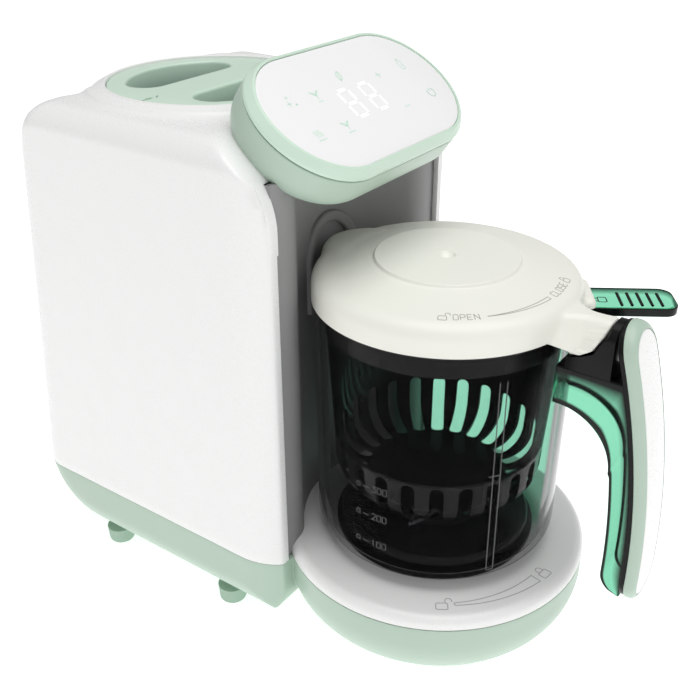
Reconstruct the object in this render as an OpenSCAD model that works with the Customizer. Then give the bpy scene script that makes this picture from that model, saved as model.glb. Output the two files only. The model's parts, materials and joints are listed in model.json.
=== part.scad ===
// Baby food maker that steams and blends: a column with a water tank, a touch head
// and a round base, and on the base a see-through jug with blade, basket and lid.
// Every module is drawn about the jug's axis, with X to the right, Y to the back and
// Z up from the table. place() then moves the middle of the footprint to the origin.

/* [Column] */
// Width of the column
body_w = 150; // [140:1:165]
// Distance from the jug's axis to the back face at the seam
body_back = 214; // [205:1:230]
// Distance from the jug's axis to the front plane of the column
body_front = 43; // [40:0.5:46]
// Height of the column's flat top
body_top = 251; // [248:0.5:262]
// How far the back leans forward at the top
back_lean = 17; // [12:1:20]
// Wall of the moulded shells
wall = 2.6; // [2:0.1:3.2]
// Radius of the upright front corners
front_corner_r = 31; // [28:1:36]
// Distance from the front plane to the centre of the front corners
front_corner_set = 20; // [16:1:24]
// Radius of the upright back corners
back_corner_r = 20; // [14:1:28]
// Radius of the shoulder over the front
shoulder_front_r = 36; // [30:1:40]
// Radius of the shoulder over the back
shoulder_back_r = 32; // [24:1:40]
// Radius of the long top edges
top_edge_r = 12; // [8:0.5:13]
// Width of the white rim beside the grey front panel
rim_w = 4.2; // [3:0.2:6]
// Radius of the hollow that the jug stands in
bay_r = 65.5; // [65:0.5:68]
// Height of the top of the grey front panel
panel_top = 212; // [208:1:216]

/* [Base] */
// Height of the feet
foot_h = 8; // [6:0.5:10]
// Radius of a foot
foot_r = 7.5; // [6:0.5:8.5]
// Height of the seam between the mint tray and the white shells
seam_z = 47; // [44:1:50]
// Radius of the round base at the seam
disc_r = 74; // [72:0.5:75]
// Radius of the round base's lower edge
bowl_r = 30; // [20:1:34]
// Radius of the tray's long lower edges
tray_edge_r = 12; // [8:0.5:14]
// Radius of the tray's lower edge at the back
tray_back_r = 38; // [30:1:39]
// Radius of the tray's lower edge at the front
tray_front_r = 22; // [14:1:26]
// Height of the round deck
deck_z = 53.5; // [52:0.5:56]
// Radius of the deck's upper edge
deck_edge_r = 4.5; // [3:0.5:5]

/* [Jug] */
// Outer radius of the jug at its rim
jug_r = 58.5; // [57.5:0.25:59.5]
// Outer radius of the jug near its foot
jug_low_r = 57.5; // [56:0.25:58.5]
// Wall of the jug
jug_wall = 2.5; // [2:0.1:3]
// Radius of the jug's lower edge
jug_edge_r = 9; // [6:0.5:10]
// Height of the jug's foot ring
jug_foot_h = 3.5; // [3:0.25:5]
// Height of the jug from its foot ring to its rim
jug_h = 117; // [110:1:125]
// Radius of the hole for the blade base
jug_hole_r = 40; // [36:1:42]

/* [Handle] */
// Distance from the jug's axis to the outside of the handle
handle_reach = 107.5; // [104:0.5:112]
// Radius of the handle's outward bow
bow_r = 362; // [300:2:450]
// Height at which the bow reaches furthest out
bow_z = 74; // [66:1:86]
// Width of the handle
handle_w = 26; // [20:1:28]
// Width of the see-through core
core_w = 17; // [12:1:20]
// Radial depth of the mint cover
cover_t = 8; // [6:0.5:10]
// Radial depth of the core behind the cover
core_t = 10.2; // [8:0.2:13]
// Height of the handle's lower end
handle_low_z = 57; // [54:1:64]
// Height of the handle's top
handle_top_z = 190; // [184:1:194]
// Depth of the white inlay
inlay_t = 2; // [1.5:0.25:3]
// Margin of mint around the inlay
inlay_margin = 2.6; // [2:0.2:5]
// Height of the arm where it leaves the jug
arm_h = 18; // [14:1:22]
// Radius of the finger gap's upper end
finger_r = 26; // [22:1:28]

/* [Lid] */
// Outer radius of the lid
lid_r = 59.6; // [58.5:0.25:61]
// Height of the lid's side wall
lid_wall_h = 6.5; // [5:0.5:9]
// Height of the lid from its edge to its raised disc
lid_h = 19; // [17:0.5:21]
// Radius of the raised disc
lid_disc_r = 32; // [26:1:36]
// Height of the step round the raised disc
lid_step = 1.2; // [0.6:0.2:2]
// Thickness of the lid
lid_t = 2.2; // [1.6:0.1:2.8]
// Radius of the steam lug at the back of the lid
lug_r = 19; // [15:0.5:22]
// How far the steam lug reaches from the jug's axis
lug_reach = 63; // [62:0.25:63.5]
// How far the hood reaches over the handle
hood_reach = 81.5; // [76:0.5:83]

/* [Basket] */
// Height of the basket from its floor to its flange
basket_h = 95; // [84:1:96]
// Outer radius of the basket above its lower edge
basket_r = 49; // [44:0.5:52]
// Radius of the basket's lower edge
basket_edge_r = 15; // [10:0.5:18]
// Wall of the basket
basket_wall = 1.8; // [1.4:0.1:2.4]
// Number of slots round the lower edge
slot_n = 24; // [16:1:28]
// Width of a slot
slot_w = 6.4; // [4:0.2:7]
// Height of the slots above the basket's floor
slot_h = 25; // [18:1:30]
// Direction of the lifting tab, counted from the right
tab_az = -57; // [-62:0.5:-50]
// How far the tab reaches from the jug's axis
tab_reach = 101; // [92:1:104]
// Width of the tab
tab_w = 21.5; // [16:0.5:25]

/* [Blade and drive] */
// Radius of the drive shaft
shaft_r = 4; // [3.5:0.25:4.5]
// Running clearance of shafts in their bearings
run_clear = 0.05; // [0.02:0.01:0.08]
// Outer radius of a bearing
bearing_r = 11; // [10:0.5:13]
// Width of a bearing
bearing_h = 7; // [6:0.5:8]
// Radius of the driven pulley
pulley_r = 27; // [22:1:32]
// Radius of the motor's pulley
pinion_r = 9; // [7:0.5:11]
// Width of the belt
belt_w = 8; // [6:0.5:10]
// Thickness of the belt
belt_t = 2; // [1.5:0.1:2.5]
// Distance from the jug's axis to the motor's axis
motor_y = 104; // [102:1:112]
// Radius of the motor
motor_r = 31; // [26:1:33]
// Height of the motor
motor_h = 62; // [54:1:68]
// Reach of the blades
blade_r = 36; // [28:1:38]
// Thickness of the blades
blade_t = 1.6; // [1.2:0.1:2]

/* [Head] */
// Tilt of the touch panel
head_tilt = 35.7; // [30:0.5:40]
// Distance from the jug's axis to the middle of the panel
head_y = 44.2; // [42:0.2:48]
// Height of the middle of the panel
head_z = 257.3; // [255:0.5:262]
// Half the straight length of the panel
panel_half = 29.9; // [26:0.5:34]
// Radius of the panel's round ends
panel_r = 29.8; // [27:0.2:31]
// Width of the mint bezel round the panel
bezel_w = 3.7; // [3:0.1:5]
// Depth of the bezel ring
bezel_h = 4.7; // [4:0.1:6]
// Depth of the head below the panel
head_h = 24; // [22:0.5:28]
// How much the head draws in towards its underside
head_taper = 7; // [5:0.5:9]

/* [Tank] */
// Distance from the jug's axis to the middle of the cap
cap_y = 131.5; // [130:0.5:134]
// Radius of the tank's cap
cap_r = 49.5; // [46:0.25:50]
// Height of the cap's top
cap_z = 252.6; // [250:0.2:258]
// Depth of the finger wells in the cap
well_h = 13; // [9:0.5:15]
// Width of the grip between the wells
grip_w = 20; // [14:0.5:26]
// Width of the collar round the cap
collar_w = 5.4; // [4:0.2:7]
// How far the collar stands above the cap
collar_lip = 1; // [0.4:0.2:2]
// Half the width of the water tank
tank_half = 48; // [42:1:52]
// Height of the tank's floor
tank_low_z = 124; // [122:1:132]

/* [Hidden] */

$fn = 96;
// Small steps used between pieces and past a cut
gap = 0.2;
eps = 0.5;
arc_n = 10;
jug_clear = 0.4;
hw = body_w / 2;
plan_shift = (handle_reach - body_back) / 2;

white = [0.93, 0.93, 0.92];
mint = [0.70, 0.80, 0.73];
pale_mint = [0.80, 0.90, 0.83];
cream = [0.93, 0.93, 0.90];
grey = [0.48, 0.48, 0.48];
black = [0.09, 0.09, 0.09];
smoke = [0.20, 0.24, 0.23, 0.6];
green = [0.50, 0.78, 0.66, 0.7];
steel = [0.72, 0.73, 0.75];
board = [0.10, 0.35, 0.22];
brass = [0.80, 0.68, 0.40];
rubber = [0.16, 0.16, 0.17];
mint_rubber = [0.66, 0.76, 0.69];

// Points on an arc about c, from angle a0 to a1
function arc(c, r, a0, a1, n = arc_n) =
    [for (i = [0:n]) c + r * [cos(a0 + (a1 - a0) * i / n), sin(a0 + (a1 - a0) * i / n)]];
// The same points mirrored in the Y axis and taken backwards
function mirrored(p) = [for (i = [len(p) - 1:-1:0]) [-p[i][0], p[i][1]]];

module place() { translate([0, plan_shift, 0]) children(); }
// A ring about Z
module ring(r_in, r_out, z0, z1) {
    translate([0, 0, z0]) difference() {
        cylinder(r = r_out, h = z1 - z0);
        translate([0, 0, -eps]) cylinder(r = r_in, h = z1 - z0 + 2 * eps);
    }
}
module disc(r, z0, z1) { translate([0, 0, z0]) cylinder(r = r, h = z1 - z0); }
// A profile drawn in Y and Z, carried across the width
module across(w) { rotate([90, 0, 90]) linear_extrude(w, center = true) children(); }
// A profile drawn in X and Z, carried from y0 to y1
module along(y0, y1) { translate([0, y1, 0]) rotate([90, 0, 0]) linear_extrude(y1 - y0) children(); }

// Column
// Plan of the column at the seam, drawn in by d
module body_plan(d) {
    half = concat(
        arc([hw - front_corner_r, body_front + front_corner_set], front_corner_r - d,
            -asin((front_corner_set - d) / (front_corner_r - d)), 0),
        arc([hw - back_corner_r, body_back - back_corner_r], back_corner_r - d, 0, 90));
    polygon(concat(half, mirrored(half)));
}
// The back plane leans, and its shoulder starts where it touches the arc
lean_a = atan(back_lean / (body_top - shoulder_back_r - seam_z));
shoulder_z = body_top - shoulder_back_r;
shoulder_y = body_back - (shoulder_back_r + (shoulder_z - seam_z) * sin(lean_a)) / cos(lean_a);
// Side view of the column above the height z0, drawn in by d; the back plane is cut by lean_prism()
module body_side(d, z0) {
    last = [shoulder_y, shoulder_z] + (shoulder_back_r - d) * [cos(lean_a), sin(lean_a)];
    polygon(concat(
        [[body_front + d, z0]],
        arc([body_front + shoulder_front_r, body_top - shoulder_front_r], shoulder_front_r - d, 180, 90),
        arc([shoulder_y, shoulder_z], shoulder_back_r - d, 90, lean_a),
        [[body_back + body_w, last[1]], [body_back + body_w, z0]]));
}
// Plan of the column's front with a square back far behind, drawn in by d
module front_plan(d) {
    half = concat(
        arc([hw - front_corner_r, body_front + front_corner_set], front_corner_r - d,
            -asin((front_corner_set - d) / (front_corner_r - d)), 0),
        [[hw - d, body_back + body_w]]);
    polygon(concat(half, mirrored(half)));
}
// The back with its upright corners, leaning as one prism, drawn in by d. Its sides stand a
// little outside the side walls, so the corners cross the walls and no two faces share a plane
corner_cross = 0.03;
module lean_prism(d) {
    side = hw + corner_cross;
    half = concat([[body_w, -2 * body_back], [body_w, -body_back / 2], [side - d, -body_back / 2]],
        arc([side - back_corner_r, -back_corner_r], back_corner_r - d, 0, 90));
    translate([0, body_back, seam_z]) rotate([lean_a, 0, 0]) translate([0, 0, -body_w])
        linear_extrude(3 * body_w) polygon(concat(half, mirrored(half)));
}
// Front view of the column above the height z0, drawn in by d
module body_face(d, z0) {
    half = concat([[hw - d, z0]], arc([hw - top_edge_r, body_top - top_edge_r], top_edge_r - d, 0, 90));
    polygon(concat(half, mirrored(half)));
}
module body_solid(d, z0) {
    intersection() {
        translate([0, 0, z0]) linear_extrude(body_top - z0) front_plan(d);
        lean_prism(d);
        across(2 * body_w) body_side(d, z0);
        along(0, body_back + body_w) body_face(d, z0);
    }
}
collar_r = cap_r + jug_clear + collar_w;
collar_z = cap_z + collar_lip;
collar_low = body_top - 22;
seat_z = cap_z - 4;
module at_cap() { translate([0, cap_y, 0]) children(); }
opening_half = hw - front_corner_r + sqrt(pow(front_corner_r, 2) - pow(front_corner_set, 2)) - rim_w;
gland_r = 6;
gland_z = seam_z + 14;
gland_y = body_back - tan(lean_a) * (gland_z - seam_z);
post_reach = 9;
board_x = hw - wall - post_reach;
board_y = 118;
board_z = 62;
board_size = [1.6, 66, 44];
coil_size = [14, 18, 20];
relay_size = [10, 12, 14];
cell_r = 5;
post_r = 3;
module board_posts(reach) {
    for (y = [6, board_size[1] - 6], z = [6, board_size[2] - 6])
        translate([-hw + wall - eps, board_y + y, board_z + z]) rotate([0, 90, 0])
            cylinder(r = post_r, h = reach + eps);
}
module body_shell() color(white) {
    difference() {
        union() {
            body_solid(0, seam_z);
            at_cap() disc(collar_r, collar_low, body_top);
            at_cap() translate([0, 0, body_top - eps])
                cylinder(r1 = collar_r + 1, r2 = cap_r + jug_clear + 1.2, h = collar_z - body_top + eps);
        }
        difference() {
            body_solid(wall, seam_z - eps);
            at_cap() disc(collar_r, collar_low - 4, body_top);
        }
        at_cap() disc(cap_r + jug_clear, seat_z, collar_z + eps);
        at_cap() disc(filler_r + gap, collar_low - 4 - eps, seat_z + eps);
        along(body_front - eps, body_front + wall + gap)
            translate([-opening_half, seam_z - eps]) square([2 * opening_half, panel_top - seam_z + eps]);
        head_frame() head_solid(gap);
        translate([0, gland_y - wall - 4, gland_z]) rotate([-90, 0, 0]) cylinder(r = gland_r, h = wall + 10);
    }
    board_posts(post_reach - gap / 4);
}

// Grey front panel with the hollow that the jug stands in
module front_panel() color(grey) {
    face_y = body_front + 1.5;
    difference() {
        translate([0, 0, seam_z + gap]) linear_extrude(panel_top - gap - seam_z) difference() {
            union() {
                translate([-opening_half + gap, face_y]) square([2 * (opening_half - gap), wall]);
                translate([-opening_half - 2, body_front + wall + gap])
                    square([2 * opening_half + 4, 2]);
                intersection() {
                    circle(r = bay_r + wall);
                    translate([-bay_r, face_y]) square([2 * bay_r, bay_r]);
                }
            }
            circle(r = bay_r);
        }
        along(face_y, bay_r + 3 * wall) arch(outlet_half + gap);
    }
}
outlet_half = 17.5;
outlet_z = 182;
outlet_low_z = 156;
outlet_face = 64;
port_r = 4;
port_z = 184;
module arch(r) {
    low = outlet_low_z + outlet_half - r;
    translate([0, outlet_z]) circle(r = r);
    translate([-r, low]) square([2 * r, outlet_z - low]);
}
// Arched steam outlet that the lid's lug meets
module steam_outlet() color(grey) difference() {
    along(body_front + 10, bay_r + 6) arch(outlet_half);
    disc(outlet_face, 0, body_top);
    along(0, bay_r) arch(outlet_half - 3.5);
    translate([0, 0, port_z]) rotate([-90, 0, 0]) cylinder(r = port_r, h = body_back);
    translate([0, outlet_face + 1.5, port_z]) rotate([-90, 0, 0]) cylinder(r = port_r + 3, h = 2.5);
}
module outlet_gasket() color(rubber) translate([0, bay_r, port_z]) rotate([-90, 0, 0])
    ring(port_r, port_r + 3 - gap, gap, 2.2);

// Base
module tray_side(d, top) {
    polygon(concat(
        [[body_front + d, top]],
        arc([body_front + tray_front_r, foot_h + tray_front_r], tray_front_r - d, 180, 270),
        arc([body_back - tray_back_r, foot_h + tray_back_r], tray_back_r - d, 270, 360),
        [[body_back - d, top]]));
}
module tray_face(d, top) {
    half = concat(arc([hw - tray_edge_r, foot_h + tray_edge_r], tray_edge_r - d, -90, 0), [[hw - d, top]]);
    polygon(concat(half, mirrored(half)));
}
module tray_solid(d, top) {
    intersection() {
        linear_extrude(top) body_plan(d);
        across(2 * body_w) tray_side(d, top);
        along(0, body_back + wall) tray_face(d, top);
    }
    rotate_extrude() polygon(concat(
        [[0, top], [0, foot_h + d]],
        arc([disc_r - bowl_r, foot_h + bowl_r], bowl_r - d, -90, 0),
        [[disc_r - d, top]]));
}
floor_z = foot_h + wall;
low_bearing_z = floor_z + 2;
belt_z = low_bearing_z + bearing_h + 5;
plate_z = belt_z + belt_w + 8;
plate_t = 3;
plate_half = 34;
plate_post = 30;
screw_r = 1.5;
boiler_r = 22;
boiler_y = motor_y + plate_half + boiler_r + 4;
boiler_h = 26;
boiler_z = floor_z + 8;
side_foot_x = hw - tray_edge_r - foot_r + 5;
front_foot_y = body_front + tray_front_r + foot_r + 12;
back_foot_y = body_back - tray_back_r - foot_r;
foot_at = [[-side_foot_x, front_foot_y], [side_foot_x, front_foot_y], [-side_foot_x, back_foot_y],
    [side_foot_x, back_foot_y], [-30, -32], [30, -32]];
module plate_posts(r, z0, z1) {
    for (x = [-plate_post, plate_post], y = [-plate_post, plate_post])
        translate([x, motor_y + y, 0]) disc(r, z0, z1);
}
module base_tray() color(mint) difference() {
    union() {
        difference() {
            tray_solid(0, seam_z);
            tray_solid(wall, seam_z + eps);
        }
        disc(bearing_r + 3, floor_z - eps, low_bearing_z + bearing_h);
        plate_posts(4, floor_z - eps, plate_z);
    }
    disc(bearing_r + run_clear, low_bearing_z, seam_z);
    plate_posts(screw_r, foot_h - eps, plate_z + eps);
}
module rubber_feet() color(mint_rubber) for (p = foot_at) translate([p[0], p[1], 0])
    cylinder(r1 = foot_r - 1, r2 = foot_r, h = foot_h);
// Screws that hold the motor plate on its posts
module tray_screws() color(steel) for (x = [-plate_post, plate_post], y = [-plate_post, plate_post])
    translate([x, motor_y + y, 0]) {
        disc(screw_r - gap / 4, plate_z - 8, plate_z + plate_t);
        disc(3, plate_z + plate_t, plate_z + plate_t + 2);
    }
deck_t = 3;
up_bearing_z = deck_z - deck_t - bearing_h;
module base_deck() color(white) difference() {
    union() {
        ring(bearing_r + run_clear, bearing_r + 3, up_bearing_z, deck_z - deck_t + eps);
        rotate_extrude() difference() {
            polygon(concat(
                [[shaft_r + 1.5, seam_z], [disc_r, seam_z]],
                arc([disc_r - deck_edge_r, deck_z - deck_edge_r], deck_edge_r, 0, 90),
                [[shaft_r + 1.5, deck_z]]));
            square([disc_r - wall, deck_z - deck_t]);
        }
    }
    difference() {
        translate([-body_w, body_front - gap, 0]) cube([2 * body_w, body_back, body_top]);
        disc(bay_r - gap, -eps, body_top + eps);
    }
}

// Head
module head_frame() { translate([0, head_y, head_z]) rotate([head_tilt, 0, 0]) children(); }
function stadium(half, r) = concat(arc([half, 0], r, -90, 90, 24), arc([-half, 0], r, 90, 270, 24));
module pill(half, r, z0, z1) { translate([0, 0, z0]) linear_extrude(z1 - z0) polygon(stadium(half, r)); }
head_r = panel_r + bezel_w;
straight_h = 14;
module head_solid(d) {
    hull() {
        pill(panel_half, head_r + d, -straight_h, -bezel_h);
        pill(panel_half, head_r - head_taper + d, -head_h - d, -head_h - d + 0.1);
    }
}
glass_t = 2;
module head_shell() color(mint) head_frame() difference() {
    head_solid(0);
    hull() {
        pill(panel_half, head_r - wall, -straight_h, -bezel_h + eps);
        pill(panel_half, head_r - head_taper - wall, -head_h + wall, -head_h + wall + 0.1);
    }
}
module head_bezel() color(pale_mint) head_frame() difference() {
    hull() {
        pill(panel_half, head_r, -bezel_h + gap, -bezel_h + 1.5);
        pill(panel_half, panel_r + 1.2, 0.4, 0.5);
    }
    pill(panel_half, panel_r, -glass_t, 1);
    pill(panel_half, panel_r - 2, -bezel_h, 1);
}
module control_panel() color(white) head_frame() pill(panel_half, panel_r - gap, -glass_t + 0.05, 0);
display_size = [34, 20];
module display_module() color(black) head_frame()
    translate([-display_size[0] / 2, -display_size[1] / 2, -bezel_h])
        cube([display_size[0], display_size[1], bezel_h - glass_t]);
module control_board() color(board) head_frame()
    pill(panel_half, panel_r - 2.5, -bezel_h - 1.6, -bezel_h - 0.02);

// Water tank and steam
filler_r = cap_r + 2.6;
filler_in = cap_r - 3;
filler_low = collar_low - 4;
cap_body_r = filler_in - 4;
// Ledge in the filler that the lock ring turns on
ledge_w = 2;
ledge_z = seat_z - well_h * 0.7;
lock_h = 5;
module tank_filler() color(white) at_cap() {
    ring(filler_in, filler_r, filler_low, seat_z - gap);
    ring(filler_in - ledge_w, filler_in + eps, ledge_z - ledge_w, ledge_z - gap / 4);
}
tank_back = body_back - back_lean - 19;
tank_front = cap_y - 34;
tank_r = 10;
module tank_box(d, z0, z1) {
    half = concat(arc([tank_half - tank_r, tank_front + tank_r], tank_r - d, -90, 0),
        arc([tank_half - tank_r, tank_back - tank_r], tank_r - d, 0, 90));
    translate([0, 0, z0]) linear_extrude(z1 - z0) polygon(concat(half, mirrored(half)));
}
feed_y = boiler_y - 8;
feed_r = 4;
module water_tank() color([0.82, 0.86, 0.86]) difference() {
    tank_box(0, tank_low_z, filler_low - gap);
    tank_box(2, tank_low_z + 2, filler_low - gap - 2);
    at_cap() intersection() {
        disc(filler_in - 2, filler_low - 6, filler_low + eps);
        translate([-body_w, tank_front + 4 - cap_y, 0])
            cube([2 * body_w, tank_back - tank_front - 8, body_top]);
    }
    translate([0, feed_y, tank_low_z - eps]) cylinder(r = feed_r + gap / 4, h = 4);
}
module feed_tube() color(rubber) translate([0, feed_y, 0])
    ring(feed_r - 1.5, feed_r, boiler_z + boiler_h + 4 + gap, tank_low_z + 2);
module boiler() color(steel) translate([0, boiler_y, 0]) {
    disc(boiler_r, boiler_z, boiler_z + boiler_h);
    disc(boiler_r - 4, boiler_z + boiler_h - eps, boiler_z + boiler_h + 4);
    for (x = [-1, 1]) translate([x * boiler_r * 0.64, boiler_r * 0.45, 0])
        disc(boiler_r / 11, boiler_z, boiler_z + boiler_h * 1.23);
}
module boiler_bracket() color(steel) translate([0, boiler_y, 0]) {
    ring(boiler_r - 8, boiler_r + 2, boiler_z - 2, boiler_z - gap);
    for (a = [15, 165, 270]) rotate([0, 0, a]) translate([boiler_r - 3, 0, 0])
        disc(3, floor_z, boiler_z - 1.5);
}
pipe_r = 4;
elbow_r = pipe_r + 0.6;
pipe_x = tank_half + 8;
pipe_start = [boiler_r - 9, boiler_y - 4, boiler_z + boiler_h + 4 + gap];
pipe_path = [
    pipe_start,
    [pipe_start[0], pipe_start[1], pipe_start[2] + 20],
    [pipe_x, pipe_start[1], pipe_start[2] + 20],
    [pipe_x, pipe_start[1], port_z],
    [pipe_x, bay_r + 16, port_z],
    [0, bay_r + 16, port_z],
    [0, bay_r + 6 + gap, port_z]];
// A round bar from p to q
module bar(p, q, r) {
    v = q - p;
    translate(p) rotate([0, acos(v[2] / norm(v)), atan2(v[1], v[0])]) cylinder(r = r, h = norm(v));
}
module steam_tube() color(steel) {
    for (i = [0:len(pipe_path) - 2]) bar(pipe_path[i], pipe_path[i + 1], pipe_r);
    for (i = [1:len(pipe_path) - 2]) translate(pipe_path[i]) sphere(r = elbow_r, $fn = 48);
}
module power_board() color(board) {
    translate([-board_x, board_y, board_z]) {
        cube(board_size);
        translate([board_size[0] - eps, board_size[1] * 0.12, board_size[2] * 0.23]) cube(coil_size);
        translate([board_size[0] - eps, board_size[1] * 0.52, board_size[2] * 0.18]) cube(relay_size);
        translate([board_size[0] - eps, board_size[1] * 0.82, board_size[2] * 0.6]) rotate([0, 90, 0])
            cylinder(r = cell_r, h = 3 * cell_r);
    }
}
module cord_gland() color(rubber) translate([0, gland_y, gland_z]) rotate([-90, 0, 0]) difference() {
    union() {
        disc(gland_r - gap / 2, -wall - 3, -1);
        disc(gland_r + 3, -wall - 3, -wall - 1.2);
    }
    disc(3.2, -wall - 4, 1);
}
module cap_lock_ring() color(rubber) at_cap() {
    ring(cap_body_r + gap, filler_in - 1.2, ledge_z, ledge_z + lock_h);
    for (a = [30, 150, 270]) rotate([0, 0, a]) translate([filler_in - ledge_w, -lock_h / 2, ledge_z])
        cube([ledge_w - 0.3, lock_h, lock_h - ledge_w]);
}
// Two D-shaped finger wells with a grip between them
module wells() {
    at_cap() intersection() {
        disc(cap_r - 7, cap_z - well_h, cap_z + eps);
        for (s = [-1, 1]) translate([-cap_r, s > 0 ? grip_w / 2 : -cap_r, 0])
            cube([2 * cap_r, cap_r - grip_w / 2, cap_z + 2 * eps]);
    }
}
module tank_cap() color(pale_mint) difference() {
    at_cap() {
        disc(cap_r, seat_z + gap, cap_z);
        disc(cap_body_r, cap_z - well_h - 2.5, seat_z + eps);
    }
    wells();
}

// Drive
module bearing(z) {
    difference() {
        ring(shaft_r + run_clear, bearing_r, z, z + bearing_h);
        ring(shaft_r + 2.4, bearing_r - 2.4, z + bearing_h - 0.8, z + bearing_h + eps);
        ring(shaft_r + 2.4, bearing_r - 2.4, z - eps, z + 0.8);
    }
}
module lower_bearing() color(steel) bearing(low_bearing_z + gap / 4);
module upper_bearing() color(steel) bearing(up_bearing_z - gap / 4);
coupling_z = deck_z + 0.6;
coupling_h = 7;
dog_z = coupling_z + coupling_h + 1;
socket_z = dog_z + 2.4;
dog_r = 13;
module drive_shaft() color(steel) disc(shaft_r, low_bearing_z, coupling_z);
module drive_pulley() color(grey) difference() {
    union() {
        disc(pulley_r, belt_z - 0.6, belt_z + belt_w + 0.6);
        disc(pulley_r + 2.4, belt_z - 1.8, belt_z - 0.6);
        disc(shaft_r + 4, low_bearing_z + bearing_h + 0.6, up_bearing_z - 0.6);
    }
    disc(shaft_r, 0, deck_z);
    for (a = [0:60:300]) rotate([0, 0, a]) translate([pulley_r * 0.6, 0, 0])
        disc(5, belt_z - 3, belt_z + belt_w + 3);
}
// A two-toothed dog: each tooth spans 24 degrees
module teeth(r_in, r_out, z0, z1, turn) {
    intersection() {
        ring(r_in, r_out, z0, z1);
        for (a = [turn, turn + 180]) rotate([0, 0, a]) linear_extrude(z1 + eps)
            polygon([[0, 0], 2 * r_out * [cos(12), -sin(12)], 2 * r_out * [cos(12), sin(12)]]);
    }
}
module drive_coupling() color(black) {
    disc(dog_r, coupling_z, coupling_z + 2.5);
    teeth(4, dog_r, coupling_z + 2, coupling_z + coupling_h, 0);
}
function belt_loop(r1, r2) = let (a = acos((r1 - r2) / motor_y)) concat(
    arc([0, 0], r1, 90 + a, 450 - a, 48), arc([0, motor_y], r2, 90 - a, 90 + a, 24));
module drive_belt() color(rubber) translate([0, 0, belt_z]) linear_extrude(belt_w) difference() {
    polygon(belt_loop(pulley_r + gap + belt_t, pinion_r + gap + belt_t));
    polygon(belt_loop(pulley_r + gap, pinion_r + gap));
}
module at_motor() { translate([0, motor_y, 0]) children(); }
motor_z = plate_z + plate_t;
motor_shaft_r = 3;
module motor_plate() color(steel) difference() {
    translate([-plate_half, motor_y - plate_half, plate_z]) cube([2 * plate_half, 2 * plate_half, plate_t]);
    at_motor() disc(10, 0, body_top);
    plate_posts(screw_r, 0, body_top);
}
module motor_can() color(steel) at_motor() difference() {
    union() {
        disc(motor_r - 2, motor_z, motor_z + 4);
        disc(motor_r, motor_z + 4 - eps, motor_z + motor_h);
        disc(9.6, motor_z - plate_t, motor_z + eps);
        disc(12, motor_z + motor_h - eps, motor_z + motor_h + 4);
    }
    disc(motor_shaft_r + run_clear, 0, motor_z + motor_h - 4);
    plate_notches();
}
module plate_notches() {
    for (x = [-plate_post, plate_post], y = [-plate_post, plate_post]) translate([x, y, 0])
        disc(5, 0, motor_z + 8);
}
module motor_shaft() color(steel) at_motor() disc(motor_shaft_r, belt_z - 3, motor_z + motor_h - 6);
module motor_pulley() color(grey) at_motor() difference() {
    union() {
        disc(pinion_r, belt_z - 0.6, belt_z + belt_w + 0.6);
        disc(pinion_r + 1.6, belt_z + belt_w + 0.6, belt_z + belt_w + 1.8);
    }
    disc(motor_shaft_r, 0, body_top);
}

// Jug
foot_z = deck_z + gap;
jug_z = foot_z + jug_foot_h;
rim_z = jug_z + jug_h;
jug_in_r = jug_r - jug_wall;
module jug_foot() color(black) {
    ring(jug_hole_r - 6, jug_low_r - jug_edge_r, foot_z, jug_z - gap / 2);
}
module jug() color(smoke) rotate_extrude() difference() {
    polygon(concat(
        [[jug_hole_r, jug_z]],
        arc([jug_low_r - jug_edge_r, jug_z + jug_edge_r], jug_edge_r, -90, 0),
        [[jug_r, rim_z], [jug_hole_r, rim_z]]));
    polygon(concat(
        [[0, jug_z + jug_wall]],
        arc([jug_low_r - jug_edge_r, jug_z + jug_edge_r], jug_edge_r - jug_wall, -90, 0),
        [[jug_in_r, rim_z + eps], [0, rim_z + eps]]));
}
// Black base in the jug's floor that carries the blade
base_top = jug_z + jug_wall + 4;
boss_top = socket_z + 2.5;
bush_r = 6;
socket_r = dog_r + 5;
module blade_base() color(black) difference() {
    union() {
        disc(jug_hole_r - gap, jug_z + gap / 2, jug_z + jug_wall + eps);
        disc(jug_hole_r + 6, jug_z + jug_wall + gap / 4, base_top);
        disc(socket_r + 3, jug_z + gap / 2, boss_top);
    }
    disc(socket_r, 0, socket_z);
    disc(bush_r, 0, body_top);
}
bush_top = boss_top + 3;
module blade_bush() color(brass)
    ring(shaft_r + run_clear, bush_r - gap / 4, socket_z, bush_top);
module blade_seal() color(rubber)
    ring(bush_r + gap / 4, bush_r + 3, boss_top + gap / 4, bush_top - 0.4);
hub_z = bush_top + 0.4;
hub_r = 9;
hub_h = 8.5;
blade_low = 1.4;
blade_high = 4.6;
blade_eye = shaft_r + 2;
module blade_shaft() color(steel) disc(shaft_r, dog_z, hub_z + hub_h - 2);
module blade_hub() color(black) difference() {
    union() {
        disc(hub_r, hub_z, hub_z + hub_h - 1.5);
        translate([0, 0, hub_z + hub_h - 1.5 - eps]) cylinder(r1 = hub_r, r2 = hub_r - 3, h = 1.5 + eps);
    }
    disc(shaft_r, 0, hub_z + hub_h - 2);
    for (z = [blade_low, blade_high])
        ring(blade_eye - gap / 4, hub_r + 1, hub_z + z, hub_z + z + blade_t + gap / 2);
}
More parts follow.
